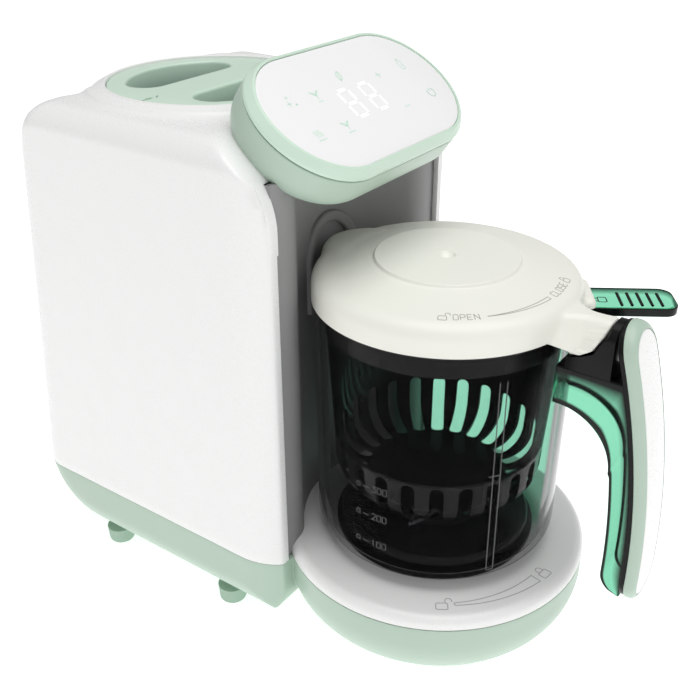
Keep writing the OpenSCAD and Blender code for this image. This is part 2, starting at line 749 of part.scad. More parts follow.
// A curved blade with a straight back and a hollow edge
module blade_pair(z, turn) {
    rotate([0, 0, turn]) translate([0, 0, z]) linear_extrude(blade_t) difference() {
        union() {
            circle(r = hub_r - 0.5);
            for (a = [0, 180]) rotate([0, 0, a]) intersection() {
                translate([0, -6]) square([blade_r, 12]);
                translate([blade_r * 0.25, -blade_r * 0.72]) circle(r = blade_r * 0.9);
                circle(r = blade_r);
            }
        }
        circle(r = blade_eye);
    }
}
module blades() color(steel) {
    blade_pair(hub_z + blade_low + gap / 4, 20);
    blade_pair(hub_z + blade_high + gap / 4, 110);
}
module blade_dog() color(black) {
    ring(shaft_r, dog_r, dog_z, socket_z - 0.4);
    teeth(5, dog_r, coupling_z + 3.3, dog_z + eps, 90);
}

// Handle, drawn in radius and height and set at the front
// Points at the depth d behind the handle's outside, from the height z0 to z1
function bow(d, z0, z1) = arc([handle_reach - bow_r, bow_z], bow_r - d,
    asin((z0 - bow_z) / (bow_r - d)), asin((z1 - bow_z) / (bow_r - d)), 16);
function backwards(p) = [for (i = [len(p) - 1:-1:0]) p[i]];
arm_top = rim_z - 11;
arm_low = arm_top - arm_h;
finger_c = [jug_r + 2, arm_low - finger_r];
module at_handle() { rotate([0, 0, -90]) rotate([90, 0, 0]) children(); }
// A bowed slab of the handle: d0 and d1 are depths behind its outside
module slope(d0, d1, z0, z1) { polygon(concat(bow(d0, z0, z1), backwards(bow(d1, z0, z1)))); }
module handle_core() color(green) difference() {
    union() {
        at_handle() linear_extrude(core_w, center = true) {
            slope(cover_t + gap / 4, cover_t + core_t, handle_low_z + 4, arm_top);
            polygon(concat(
                [[jug_in_r, arm_top], [jug_in_r, arm_low]],
                arc(finger_c, finger_r, 90, 0),
                bow(cover_t + 1, finger_c[1], arm_top)));
        }
        core_hump();
    }
    translate([0, 0, jug_z]) cylinder(r1 = jug_low_r + gap / 4, r2 = jug_r + gap / 4, h = jug_h);
}
// Housing on the core under the lid's hood: it follows the hood's end and turns about the jug's axis
module core_hump() {
    front = hood_reach + 0.9;
    intersection() {
        rotate_extrude() polygon([
            [jug_r + 4, arm_top - 2], [jug_r + 4, hood_low - 4], [hood_reach - 11.5, hood_low - 1.8],
            [hood_reach - 6.9, hood_low + 1], [hood_reach - 3.4, hood_low + 8], [hood_reach - 1.6, hood_low + 14],
            [front - 0.6, hood_low + 14.6], [front, hood_low + 14], [front, arm_top - 2]]);
        along(-front - 5, 0) front_pill((handle_w - core_w) / 2);
    }
}
// Rounded outline of the handle as seen from the front, drawn in by the margin
module front_pill(margin) {
    half = handle_w / 2 - margin;
    polygon(concat(arc([0, handle_top_z - handle_w / 2], half, 0, 180, 20),
        arc([0, handle_low_z + handle_w / 2], half, 180, 360, 20)));
}
// A slab of the handle between two depths, cut to the rounded outline
module handle_slab(d0, d1, margin) {
    intersection() {
        at_handle() linear_extrude(2 * handle_w, center = true)
            slope(d0, d1, handle_low_z - 10, handle_top_z + 10);
        along(-handle_reach - 30, 0) front_pill(margin);
    }
}
module handle_cover() color(mint) difference() {
    union() {
        handle_slab(1.6, cover_t, 0);
        handle_slab(0.2, 2, 1.4);
    }
    handle_slab(-5, inlay_t, inlay_margin);
    disc(hood_reach + 1, arm_top, body_top);
}
module handle_inlay() color(white) handle_slab(0, inlay_t - gap / 4, inlay_margin + gap / 2);

// Basket
flange_t = 1.5;
basket_top = rim_z + gap / 2 + flange_t;
basket_low = basket_top - basket_h;
band_r = jug_in_r - 0.7;
band_h = 10;
band_in = 2;
// Outline of the bowl on one side, drawn in by d
function bowl_line(d) = concat(
    [[0, basket_low + d]],
    arc([basket_r - basket_edge_r, basket_low + basket_edge_r], basket_edge_r - d, -90, 0),
    [[band_r - band_in - d, rim_z - band_h]]);
module tab_outline(grow) {
    translate([0, -tab_w / 2 - grow]) square([tab_reach - 6 + grow, tab_w + 2 * grow]);
    for (s = [-1, 1]) translate([tab_reach - 6, s * (tab_w / 2 - 6)]) circle(r = 6 + grow);
    translate([tab_reach - 7, -tab_w / 2 + 6]) square([7, tab_w - 12]);
}
module basket() color(black) difference() {
    union() {
        rotate_extrude() difference() {
            union() {
                polygon(concat(bowl_line(0), [[0, rim_z - band_h]]));
                translate([0, rim_z - band_h]) square([band_r, band_h + gap]);
                translate([0, rim_z + gap / 2]) square([jug_r - 0.4, flange_t]);
            }
            polygon(concat(bowl_line(basket_wall),
                [[band_r - band_in - basket_wall, basket_top + eps], [0, basket_top + eps]]));
        }
        rotate([0, 0, tab_az]) difference() {
            union() {
                translate([0, 0, rim_z + gap / 2]) linear_extrude(flange_t) tab_outline(0);
                translate([0, 0, basket_top - 4]) linear_extrude(4) intersection() {
                    tab_outline(0);
                    translate([jug_r + 1.5, -tab_w]) square([tab_reach, 2 * tab_w]);
                }
            }
            disc(jug_in_r - 1, 0, body_top);
            for (i = [0:4]) translate([jug_r + 17.5 + 4.4 * i, -tab_w * 0.3, basket_top - 0.8])
                cube([1.4, tab_w * 0.6, 2]);
        }
    }
    for (i = [0:slot_n - 1]) rotate([0, 0, 360 * i / slot_n]) translate([basket_r - basket_edge_r, 0, 0]) {
        translate([0, -slot_w / 2, basket_low - eps])
            cube([basket_edge_r + 6, slot_w, slot_h - slot_w / 2 + eps]);
        translate([0, 0, basket_low + slot_h - slot_w / 2 - eps]) rotate([0, 90, 0])
            cylinder(r = slot_w / 2 - 0.05, h = basket_edge_r + 6, $fn = 32);
    }
}

// Lid
lid_z = basket_top + jug_clear;
lid_top = lid_z + lid_h;
lid_edge_r = 8;
// Outline of the lid on one side, drawn in by d
function lid_line(d) = concat(
    [[lid_r - d, lid_z]],
    arc([lid_r - lid_edge_r, lid_z + lid_wall_h], lid_edge_r - d, 0, 62),
    [[lid_disc_r + 1, lid_top - lid_step - d], [0, lid_top - lid_step - d]]);
// The hood reaches over the handle: half its width there and at the lid, and its heights
hood_w = 11;
hood_flare = 16;
hood_low = lid_z - 4.2;
hood_top = lid_z + lid_h * 0.74;
// Radius and height along the hood's end, from its low edge up, moved in by d
function hood_end(d) = [
    [hood_reach - 11.7 - d, hood_low], [hood_reach - 8 - d, hood_low + 2.2], [hood_reach - 4.8 - d, hood_low + 8.2],
    [hood_reach - 3 - d, hood_low + 14.2], [hood_reach - d, hood_top - d]];
// The hood turns about the jug's axis, and its sides draw in towards the handle
module hood(d) {
    low = d > 0 ? eps : 0;
    intersection() {
        rotate_extrude() polygon(concat(
            [[lid_r - 12, hood_top - d], [lid_r - 12, lid_z - low], [lid_r, lid_z - 0.7 - low]],
            [for (q = hood_end(d)) [q[0], q[1] == hood_low ? hood_low - low : q[1]]]));
        rotate([0, 0, -90]) linear_extrude(body_top) polygon([
            [0, d - hood_flare], [lid_r - 3, d - hood_flare], [lid_r + 8, d - hood_w], [hood_reach + 1, d - hood_w],
            [hood_reach + 1, hood_w - d], [lid_r + 8, hood_w - d], [lid_r - 3, hood_flare - d], [0, hood_flare - d]]);
    }
}
ear_reach = 64.5;
module lid_cover() color(cream) difference() {
    union() {
        rotate_extrude() polygon(concat(lid_line(0), [[0, lid_z]]));
        disc(lid_disc_r, lid_top - lid_step - eps, lid_top);
        intersection() {
            translate([0, lug_reach - lug_r, 0]) disc(lug_r, lid_z, lid_top - 4);
            disc(lug_reach, 0, body_top);
        }
        hood(0);
        rotate([0, 0, tab_az]) translate([lid_r - 8, -tab_w / 2 - 1, lid_z])
            cube([ear_reach - lid_r + 8, tab_w + 2, lid_wall_h - 1]);
    }
    rotate_extrude() polygon(concat([[0, lid_z - eps], [lid_r - lid_t, lid_z - eps]], lid_line(lid_t)));
    translate([0, lug_reach - lug_r, 0]) disc(lug_r - lid_t, lid_z - eps, lid_top - 4 - lid_t);
    translate([0, 0, port_z]) rotate([-90, 0, 0]) cylinder(r = port_r, h = lug_reach + eps);
    hood(lid_t);
    translate([0, 0, lid_top + 2.4]) sphere(r = 4.4);
    disc(jug_r + 0.9, 0, lid_z);
}
seal_r = band_r - band_in - basket_wall - 0.8;
module lid_seal() color(rubber) {
    ring(seal_r - 3, seal_r, lid_z - 5, lid_z + 5);
    ring(seal_r - 3, lid_r - lid_t - gap, lid_z + 2, lid_z + 5);
}
module lid_grommet() color(rubber) translate([0, 0, port_z]) rotate([-90, 0, 0]) {
    ring(port_r - 1.4, port_r - gap / 4, lug_reach - lid_t - 2.6, lug_reach - 0.6);
    ring(port_r - 1.4, port_r + 0.7, lug_reach - lid_t - 2.6, lug_reach - lid_t - 1.2);
}

place() base_tray();
place() base_deck();
place() rubber_feet();
place() tray_screws();
place() body_shell();
place() front_panel();
place() steam_outlet();
place() outlet_gasket();
place() head_shell();
place() head_bezel();
place() control_panel();
place() display_module();
place() control_board();
place() tank_filler();
place() water_tank();
place() feed_tube();
place() boiler();
place() boiler_bracket();
place() steam_tube();
place() power_board();
place() cord_gland();
place() motor_can();
place() motor_plate();
place() drive_belt();
place() lower_bearing();
place() upper_bearing();
place() drive_shaft();
place() drive_pulley();
place() drive_coupling();
place() motor_shaft();
place() motor_pulley();
place() jug_foot();
place() jug();
place() handle_core();
place() handle_cover();
place() handle_inlay();
place() blade_base();
place() blade_bush();
place() blade_seal();
place() basket();
place() blade_shaft();
place() blade_hub();
place() blades();
place() blade_dog();
place() lid_cover();
place() lid_seal();
place() lid_grommet();
place() cap_lock_ring();
place() tank_cap();
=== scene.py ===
"""Dresses a baby food steamer and blender: moulded shells, clear plastics, marks and studio light.

Shapes are worked out in millimetres about the jug's axis, with X to the right, Y to the
back and Z up from the table. Piece.make moves them into the frame, which is in metres.
"""
from __future__ import annotations

import json
import logging
import math
from dataclasses import dataclass, field
from enum import Enum
from typing import Callable, Optional, Sequence, Union

import bmesh
import bpy
import numpy as np
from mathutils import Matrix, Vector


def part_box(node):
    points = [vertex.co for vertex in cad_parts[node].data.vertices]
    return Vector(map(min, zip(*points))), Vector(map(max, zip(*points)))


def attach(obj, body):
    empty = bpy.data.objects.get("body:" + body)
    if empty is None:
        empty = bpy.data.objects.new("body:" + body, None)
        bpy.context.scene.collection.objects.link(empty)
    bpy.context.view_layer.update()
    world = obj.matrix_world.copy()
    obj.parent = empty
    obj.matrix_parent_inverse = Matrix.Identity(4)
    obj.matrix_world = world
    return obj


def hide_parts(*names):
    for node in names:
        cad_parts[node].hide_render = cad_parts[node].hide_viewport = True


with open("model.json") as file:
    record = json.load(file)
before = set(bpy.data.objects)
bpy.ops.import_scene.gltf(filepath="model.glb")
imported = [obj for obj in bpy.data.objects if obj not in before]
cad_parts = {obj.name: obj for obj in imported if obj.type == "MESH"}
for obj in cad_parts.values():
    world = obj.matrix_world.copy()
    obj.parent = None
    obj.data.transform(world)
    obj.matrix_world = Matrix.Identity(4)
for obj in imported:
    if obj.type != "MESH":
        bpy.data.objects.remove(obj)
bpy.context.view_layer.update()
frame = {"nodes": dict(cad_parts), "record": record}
LOG = logging.getLogger("food_maker")
Array = np.ndarray
MM = 0.001
WELD = 4e-6
FAR = 260.0
JUG_Y = sum(corner[1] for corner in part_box("jug_foot")) / 2


def span(node: str) -> tuple[Array, Array]:
    """Corners of a CAD node.

    Args:
        node: Name of the node.

    Returns:
        Its lowest and highest corner, in millimetres about the jug's axis.
    """
    low, high = (np.array(corner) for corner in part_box(node))
    axis = np.array([0.0, JUG_Y, 0.0])
    return (low - axis) / MM, (high - axis) / MM


def srgb(red: float, green: float, blue: float) -> tuple[float, float, float]:
    """Linear colour of a screen colour given in 0 to 255."""
    value = np.array([red, green, blue]) / 255.0
    linear = np.where(value <= 0.04045, value / 12.92, ((value + 0.055) / 1.055) ** 2.4)
    return tuple(float(v) for v in linear)


class Slot(Enum):
    """Material slots of the record."""

    MINT = "mint_shell"
    PALE = "pale_mint"
    WHITE = "white_shell"
    CREAM = "cream_lid"
    GREY = "grey_panel"
    PANEL = "panel_white"
    BLACK = "black_plastic"
    CLEAR = "smoke_clear"
    SMOKE = "smoke_dark"
    TANK = "tank_clear"
    RUBBER = "rubber_dark"
    STEEL = "steel"
    BRONZE = "bronze"
    BOARD = "board_green"
    SOFT = "mint_rubber"


class Body(Enum):
    """Moving bodies that pieces ride on."""

    BASE = "base"
    SEAT = "jug_seat"
    JUG = "jug_unit"
    LID = "lid"
    CAP = "cap"


# Curves and surfaces


def arc(centre: Sequence[float], radius: float, start: float, stop: float, steps: int = 16) -> Array:
    """Points centre + radius (cos a, sin a), for even steps of a.

    Args:
        centre: Middle of the arc.
        radius: Its radius.
        start: First angle in degrees.
        stop: Last angle in degrees.
        steps: Number of steps.

    Returns:
        Points as (steps + 1, 2).
    """
    angle = np.radians(np.linspace(start, stop, steps + 1))
    return np.stack([centre[0] + radius * np.cos(angle), centre[1] + radius * np.sin(angle)], axis=-1)


def rounded(corners: Sequence[tuple[float, float, float]], steps: int = 6) -> Array:
    """A polyline whose inner corners are arcs.

    Each arc touches both sides of its corner: it is a slerp between the two tangent
    points about the centre, which lies on the corner's bisector.

    Args:
        corners: (u, v, radius) of each corner. A radius of 0 keeps the corner sharp.
        steps: Steps on each arc.

    Returns:
        Points as (n, 2).
    """
    spots = np.array([corner[:2] for corner in corners], float)
    runs = [spots[:1]]
    for before, spot, after, corner in zip(spots, spots[1:], spots[2:], corners[1:]):
        radius = corner[2]
        if radius <= 0:
            runs.append(spot[None])
            continue
        back = (before - spot) / np.linalg.norm(before - spot)
        ahead = (after - spot) / np.linalg.norm(after - spot)
        opening = math.acos(float(np.clip(back @ ahead, -1, 1)))
        middle = spot + (back + ahead) / np.linalg.norm(back + ahead) * radius / math.sin(opening / 2)
        first = spot + back * radius / math.tan(opening / 2) - middle
        last = spot + ahead * radius / math.tan(opening / 2) - middle
        sweep = math.pi - opening
        share = np.linspace(0, 1, steps + 1)[:, None]
        turn = (np.sin((1 - share) * sweep) * first + np.sin(share * sweep) * last) / math.sin(sweep)
        runs.append(middle + turn)
    runs.append(spots[-1:])
    return np.concatenate(runs)


def revolve(profile: Array, steps: int = 144, centre: Sequence[float] = (0.0, 0.0)) -> Array:
    """A profile of (radius, height) carried round a vertical axis.

    Args:
        profile: Points as (n, 2).
        steps: Columns round the axis.
        centre: Plan position of the axis.

    Returns:
        Grid as (n, steps, 3), with (cx + r cos a, cy + r sin a, z).
    """
    angle = np.linspace(0, 2 * math.pi, steps, endpoint=False)
    radius = profile[:, :1]
    height = np.broadcast_to(profile[:, 1:], (len(profile), steps))
    return np.stack([centre[0] + radius * np.cos(angle), centre[1] + radius * np.sin(angle), height], axis=-1)


def stadium(half: float, radius: Array, steps: int = 40) -> tuple[Array, Array]:
    """Outline of a slot: two half circles about (+-half, 0).

    Args:
        half: Half the straight length.
        radius: Radius of each row, as (rows, 1).
        steps: Steps on each half circle.

    Returns:
        x and y, each as (rows, 2 * steps + 2).
    """
    right = np.radians(np.linspace(-90, 90, steps + 1))
    angle = np.concatenate([right, right + math.pi])
    side = np.repeat([half, -half], steps + 1)
    return side + radius * np.cos(angle), radius * np.sin(angle)


def corner_field(across: Array, above: Array, radius: Union[float, Array]) -> Array:
    """Signed distance to a rounded corner of two half planes.

    With q = distances + radius it is |max(q, 0)| + min(max(q), 0) - radius.

    Args:
        across: Distance outside the first plane.
        above: Distance outside the second plane.
        radius: Radius of the corner.

    Returns:
        Distance, negative inside.
    """
    first, second = across + radius, above + radius
    outside = np.hypot(np.maximum(first, 0), np.maximum(second, 0))
    return outside + np.minimum(np.maximum(first, second), 0) - radius


def meet(first: Array, second: Array, width: Union[float, Array]) -> Array:
    """Smooth maximum of two fields: max + h^2 width / 4, h = (width - |difference|) / width above 0."""
    near = np.maximum(width - np.abs(first - second), 0) / width
    return np.maximum(first, second) + near * near * width / 4


def join(first: Array, second: Array, width: float) -> Array:
    """Smooth minimum of two fields, which unites two solids with a fillet."""
    return -meet(-first, -second, width)


def ease(value: Array, start: float, stop: float) -> Array:
    """Smooth step from 0 at start to 1 at stop: t^2 (3 - 2 t)."""
    share = np.clip((value - start) / (stop - start), 0, 1)
    return share * share * (3 - 2 * share)


def cast(origin: Array, ray: Array, solid: Callable[[Array], Array], reach: float) -> Array:
    """Points where rays leave a solid, found by halving [0, reach] towards the field's sign change.

    Args:
        origin: Starting points inside the solid, (..., 3).
        ray: Directions, (..., 3).
        solid: Field that is negative inside.
        reach: Multiple of the ray that lies outside.

    Returns:
        Points on the surface, (..., 3).
    """
    shape = np.broadcast_shapes(origin.shape, ray.shape)[:-1]
    near, far = np.zeros(shape), np.full(shape, reach)
    for _ in range(34):
        middle = (near + far) / 2
        inside = solid(origin + ray * middle[..., None]) < 0
        near, far = np.where(inside, middle, near), np.where(inside, far, middle)
    return origin + ray * near[..., None]


def level_rays(half: Array) -> Array:
    """Level unit rays at angles in degrees from the front, on both sides."""
    turn = np.radians(np.concatenate([half, 360 - half[-2:0:-1]]))
    return np.stack([np.sin(turn), -np.cos(turn), np.zeros_like(turn)], axis=-1)


def skin(heart: Array, level: Array, slope: Array, flat: Array, solid: Callable[[Array], Array]) -> Array:
    """Rows of points on a solid: level rays at given heights, then a fan of sloping rays.

    Args:
        heart: Point inside the solid where the fan starts.
        level: Heights of the level rows.
        slope: Rise of the fan's rows for each millimetre outwards.
        flat: Level rays, one a column.
        solid: Field that is negative inside.

    Returns:
        Grid as (rows, columns, 3).
    """
    start = np.zeros((len(level) + len(slope), 1, 3)) + heart
    start[:len(level), 0, 2] = level
    ray = np.repeat(flat[None], len(start), axis=0)
    ray[len(level):, :, 2] = slope[:, None]
    return cast(start, ray, solid, FAR)


def raised(flat: Array, height: Union[float, Array]) -> Array:
    """Plan points with a height added, as (..., 3)."""
    level = np.broadcast_to(np.asarray(height, float), flat.shape[:-1])
    return np.concatenate([flat, level[..., None]], axis=-1)


def carried(plan: Array, height: Array) -> Array:
    """A plan carried upwards: one row of its points a height."""
    return raised(np.broadcast_to(plan, (len(height), *plan.shape)), height[:, None])


def capped(grid: Array) -> Array:
    """A grid closed by a point in the middle of its first row and of its last one."""
    ends = [np.broadcast_to(grid[k].mean(axis=0), (1, *grid.shape[1:])) for k in (0, -1)]
    return np.concatenate([ends[0], grid, ends[1]])


def lengths(curve: Array) -> Array:
    """Distance along a curve at each of its points."""
    return np.concatenate([[0], np.cumsum(np.linalg.norm(np.diff(curve, axis=0), axis=1))])


def sample(curve: Array, at: Array) -> Array:
    """Points of a plane curve at given distances along it."""
    length = lengths(curve)
    return np.stack([np.interp(at, length, curve[:, k]) for k in (0, 1)], axis=-1)


def graded(*runs: tuple[float, float, int]) -> Array:
    """Values run by run, each (start, stop, count); every run but the last leaves its stop to the next."""
    return np.concatenate([np.linspace(*run, endpoint=False) for run in runs[:-1]] + [np.linspace(*runs[-1])])


@dataclass
class Sheet:
    """A grid of points, rows by columns.

    Attributes:
        points: Grid as (rows, columns, 3), in millimetres.
        wrap_rows: The last row joins the first.
        wrap_cols: The last column joins the first.
        keep: Which faces stay, as (face rows, face columns).
        tone: One value a point, stored as the attribute "tone".
    """

    points: Array
    wrap_rows: bool = False
    wrap_cols: bool = True
    keep: Optional[Array] = None
    tone: Optional[Array] = None

    def faces(self) -> Array:
        """Quads as (n, 4) point indices."""
        index = np.arange(self.points.shape[0] * self.points.shape[1]).reshape(self.points.shape[:2])
        if self.wrap_cols:
            index = np.concatenate([index, index[:, :1]], axis=1)
        if self.wrap_rows:
            index = np.concatenate([index, index[:1]], axis=0)
        quads = np.stack([index[:-1, :-1], index[:-1, 1:], index[1:, 1:], index[1:, :-1]], axis=-1)
        return quads[self.keep] if self.keep is not None else quads.reshape(-1, 4)


def ring(profile: Array, steps: int = 144, centre: Sequence[float] = (0.0, 0.0)) -> Sheet:
    """A closed profile carried round a vertical axis."""
    return Sheet(revolve(profile, steps, centre), wrap_rows=True)


# Materials


class Socket:
    """A shader output that takes Python arithmetic: each operator adds a Math node."""

    def __init__(self, shader: "Shader", output: bpy.types.NodeSocket) -> None:
        """Keeps the tree and the output."""
        self.shader = shader
        self.output = output

    def _math(self, operation: str, first: "Value", second: "Value") -> "Socket":
        """Adds a Math node on two values."""
        return self.shader.node("ShaderNodeMath", {"operation": operation}, {0: first, 1: second})

    def __add__(self, other: "Value") -> "Socket":
        """self + other."""
        return self._math("ADD", self, other)

    def __radd__(self, other: "Value") -> "Socket":
        """other + self."""
        return self._math("ADD", other, self)

    def __sub__(self, other: "Value") -> "Socket":
        """self - other."""
        return self._math("SUBTRACT", self, other)

    def __rsub__(self, other: "Value") -> "Socket":
        """other - self."""
        return self._math("SUBTRACT", other, self)

    def __mul__(self, other: "Value") -> "Socket":
        """self * other."""
        return self._math("MULTIPLY", self, other)

    def __pow__(self, other: "Value") -> "Socket":
        """self to the power of other."""
        return self._math("POWER", self, other)

    def limited(self, low: float = 0.0, high: float = 1.0) -> "Socket":
        """The value held between two limits."""
        return self.shader.node("ShaderNodeClamp", {}, {"Value": self, "Min": low, "Max": high})

    def step(self, start: float, stop: float) -> "Socket":
        """Smooth step from 0 at start to 1 at stop."""
        settings = {"interpolation_type": "SMOOTHSTEP"}
        return self.shader.node("ShaderNodeMapRange", settings, {0: self, 1: start, 2: stop, 3: 0.0, 4: 1.0})


Value = Union[Socket, float, Sequence[float]]


class Shader:
    """A material's node tree, with one method that adds any node."""

    def __init__(self, name: str) -> None:
        """Starts a material that holds only its output and a Principled shader."""
        self.material = bpy.data.materials.new(name)
        self.material.use_nodes = True
        self.tree = self.material.node_tree
        self.plastic = self.tree.nodes["Principled BSDF"]
        self.end = self.tree.nodes["Material Output"]

    def node(self, kind: str, settings: dict, values: dict, output: Union[int, str] = 0) -> Socket:
        """Adds a node.

        Args:
            kind: The node's type.
            settings: Its properties.
            values: Numbers, colours or sockets for its inputs, by name or place.
            output: The output to return.

        Returns:
            The output, ready for arithmetic.
        """
        made = self.tree.nodes.new(kind)
        for key, value in settings.items():
            setattr(made, key, value)
        self.feed(made, values)
        return Socket(self, made.outputs[output])

    def feed(self, node: bpy.types.Node, values: dict) -> None:
        """Sets or links a node's inputs."""
        for key, value in values.items():
            slot = node.inputs[key]
            if isinstance(value, Socket):
                self.tree.links.new(value.output, slot)
            elif slot.type == "RGBA":
                slot.default_value = (*value[:3], 1.0)
            else:
                slot.default_value = value

    def place(self) -> Socket:
        """Object coordinates."""
        return self.node("ShaderNodeTexCoord", {}, {}, "Object")

    def tone(self) -> Socket:
        """The piece's own "tone" attribute."""
        return self.node("ShaderNodeAttribute", {"attribute_name": "tone"}, {}, "Fac")

    def noise(self, size: float, detail: float = 2.0, stretch: Sequence[float] = (1.0, 1.0, 1.0)) -> Socket:
        """Noise with lumps of a size in millimetres, drawn out by stretch."""
        spot = self.node("ShaderNodeMapping", {}, {"Vector": self.place(), "Scale": stretch})
        values = {"Vector": spot, "Scale": 1 / (size * MM), "Detail": detail}
        return self.node("ShaderNodeTexNoise", {}, values)

    def mix(self, factor: Value, first: Value, second: Value) -> Socket:
        """Colour between first and second."""
        return self.node("ShaderNodeMix", {"data_type": "RGBA"}, {0: factor, 6: first, 7: second}, 2)

    def bump(self, height: Socket, depth: float) -> Socket:
        """Normal of a relief whose depth is in millimetres."""
        values = {"Strength": 1.0, "Distance": depth * MM, "Height": height}
        return self.node("ShaderNodeBump", {}, values, "Normal")

    def finish(self, shader: Optional[Socket] = None) -> bpy.types.Material:
        """Links the last shader to the output and returns the material."""
        if shader is not None:
            self.tree.links.new(shader.output, self.end.inputs["Surface"])
        return self.material


class Finish:
    """A surface finish that makes its material once."""

    made: dict = {}

    def material(self, name: str) -> bpy.types.Material:
        """The material under a name, made at its first use."""
        if name not in Finish.made:
            Finish.made[name] = self.build(Shader(name))
        return Finish.made[name]

    def build(self, shader: Shader) -> bpy.types.Material:
        """Fills the node tree."""
        raise NotImplementedError


@dataclass(frozen=True)
class Moulded(Finish):
    """Moulded plastic or rubber: fine grain in the relief, a faint cloud in colour and gloss.

    Attributes:
        colour: Linear base colour.
        rough: Roughness.
        grain: Size of the grain in millimetres.
        relief: Depth of the grain in millimetres.
        cloud: Share by which the colour darkens in the clouds.
        coat: Weight of a clear gloss over it.
        shine: Specular level.
        toned: Linear base colour where the "tone" attribute is 1, or None for the same colour. The pale mint
            uses it for painted shade in the cap's finger wells.
    """

    colour: tuple[float, float, float]
    rough: float = 0.35
    grain: float = 0.5
    relief: float = 0.006
    cloud: float = 0.03
    coat: float = 0.0
    shine: float = 0.5
    toned: Optional[tuple[float, float, float]] = None

    def build(self, shader: Shader) -> bpy.types.Material:
        """Colour = base darkened by cloud; roughness rises with the grain."""
        cloud = shader.noise(24.0, 3.0)
        grain = shader.noise(self.grain)
        dark = tuple(c * (1 - self.cloud) for c in self.colour)
        colour = shader.mix(cloud, self.colour, dark)
        if self.toned is not None:
            colour = shader.mix(shader.tone(), colour, self.toned)
        shader.feed(shader.plastic, {
            "Base Color": colour,
            "Roughness": (self.rough + (grain - 0.5) * 0.1 + (cloud - 0.5) * 0.04).limited(0.03),
            "Normal": shader.bump(grain, self.relief),
            "Specular IOR Level": self.shine,
            "Coat Weight": self.coat,
            "Coat Roughness": 0.06,
        })
        return shader.finish()


@dataclass(frozen=True)
class Clear(Finish):
    """Clear tinted plastic: light passes straight, and more gloss and dark show at the edges.

    Attributes:
        tint: Linear colour of the light that passes one surface.
        toned: The same where the "tone" attribute is 1, or None if the tone makes the wall opaque.
        body: Linear colour of what doesn't pass.
        base: Share that doesn't pass when seen square on.
        edge: Share that is added at a grazing view.
        power: How narrow that edge is.
        shine: Specular level.
        rim: Share of grazing past which the wall's own thickness shows dark, or 1 for none.
    """

    tint: tuple[float, float, float]
    toned: Optional[tuple[float, float, float]] = None
    body: tuple[float, float, float] = (0.01, 0.011, 0.011)
    base: float = 0.04
    edge: float = 0.6
    power: float = 3.0
    shine: float = 0.2
    rim: float = 1.0

    def build(self, shader: Shader) -> bpy.types.Material:
        """Mix of a transparent tint and dark gloss, by view angle and tone."""
        grain = shader.noise(6.0, 2.0)
        tone = shader.tone()
        facing = shader.node("ShaderNodeLayerWeight", {}, {"Blend": 0.5}, "Facing")
        solid = self.base + facing ** self.power * self.edge + (grain - 0.5) * 0.02
        if self.rim < 1:
            solid = solid + facing.step(self.rim - 0.03, self.rim + 0.03) * 0.8
        through = shader.node("ShaderNodeBsdfTransparent", {}, {"Color": self.tint})
        if self.toned is None:
            solid = solid + tone
        else:
            other = shader.node("ShaderNodeBsdfTransparent", {}, {"Color": self.toned})
            through = shader.node("ShaderNodeMixShader", {}, {0: tone, 1: through, 2: other})
        shader.feed(shader.plastic, {
            "Base Color": shader.mix(grain, self.body, tuple(1.2 * c for c in self.body)),
            "Roughness": (0.06 + grain * 0.08).limited(),
            "Specular IOR Level": self.shine,
        })
        gloss = Socket(shader, shader.plastic.outputs[0])
        shares = {0: solid.limited(), 1: through, 2: gloss}
        return shader.finish(shader.node("ShaderNodeMixShader", {}, shares))


@dataclass(frozen=True)
class Metal(Finish):
    """Turned or brushed metal, drawn out along one direction.

    Attributes:
        colour: Linear base colour.
        rough: Roughness.
        stretch: Scale of the brush marks along X, Y and Z.
    """

    colour: tuple[float, float, float]
    rough: float = 0.3
    stretch: tuple[float, float, float] = (1.0, 1.0, 14.0)

    def build(self, shader: Shader) -> bpy.types.Material:
        """Brush marks vary colour, roughness and relief."""
        marks = shader.noise(2.0, 4.0, self.stretch)
        dull = tuple(c * 0.8 for c in self.colour)
        shader.feed(shader.plastic, {
            "Base Color": shader.mix(marks, self.colour, dull),
            "Roughness": (self.rough + (marks - 0.5) * 0.25).limited(0.05),
            "Normal": shader.bump(marks, 0.01),
            "Metallic": 1.0,
        })
        return shader.finish()


@dataclass(frozen=True)
class Board(Finish):
    """Circuit board: tracks and pads under a green mask.

    Attributes:
        colour: Linear colour of the mask.
        track: Linear colour over a track.
    """

    colour: tuple[float, float, float]
    track: tuple[float, float, float]

    def build(self, shader: Shader) -> bpy.types.Material:
        """Tracks are the edges of cells, raised a little."""
        values = {"Vector": shader.place(), "Scale": 1 / (5.0 * MM)}
        cells = shader.node("ShaderNodeTexVoronoi", {"feature": "DISTANCE_TO_EDGE"}, values, "Distance")
        track = 1 - cells.step(0.04, 0.07)
        shader.feed(shader.plastic, {
            "Base Color": shader.mix(track, self.colour, self.track),
            "Roughness": 0.35 + track * 0.1,
            "Normal": shader.bump(track, 0.03),
        })
        return shader.finish()


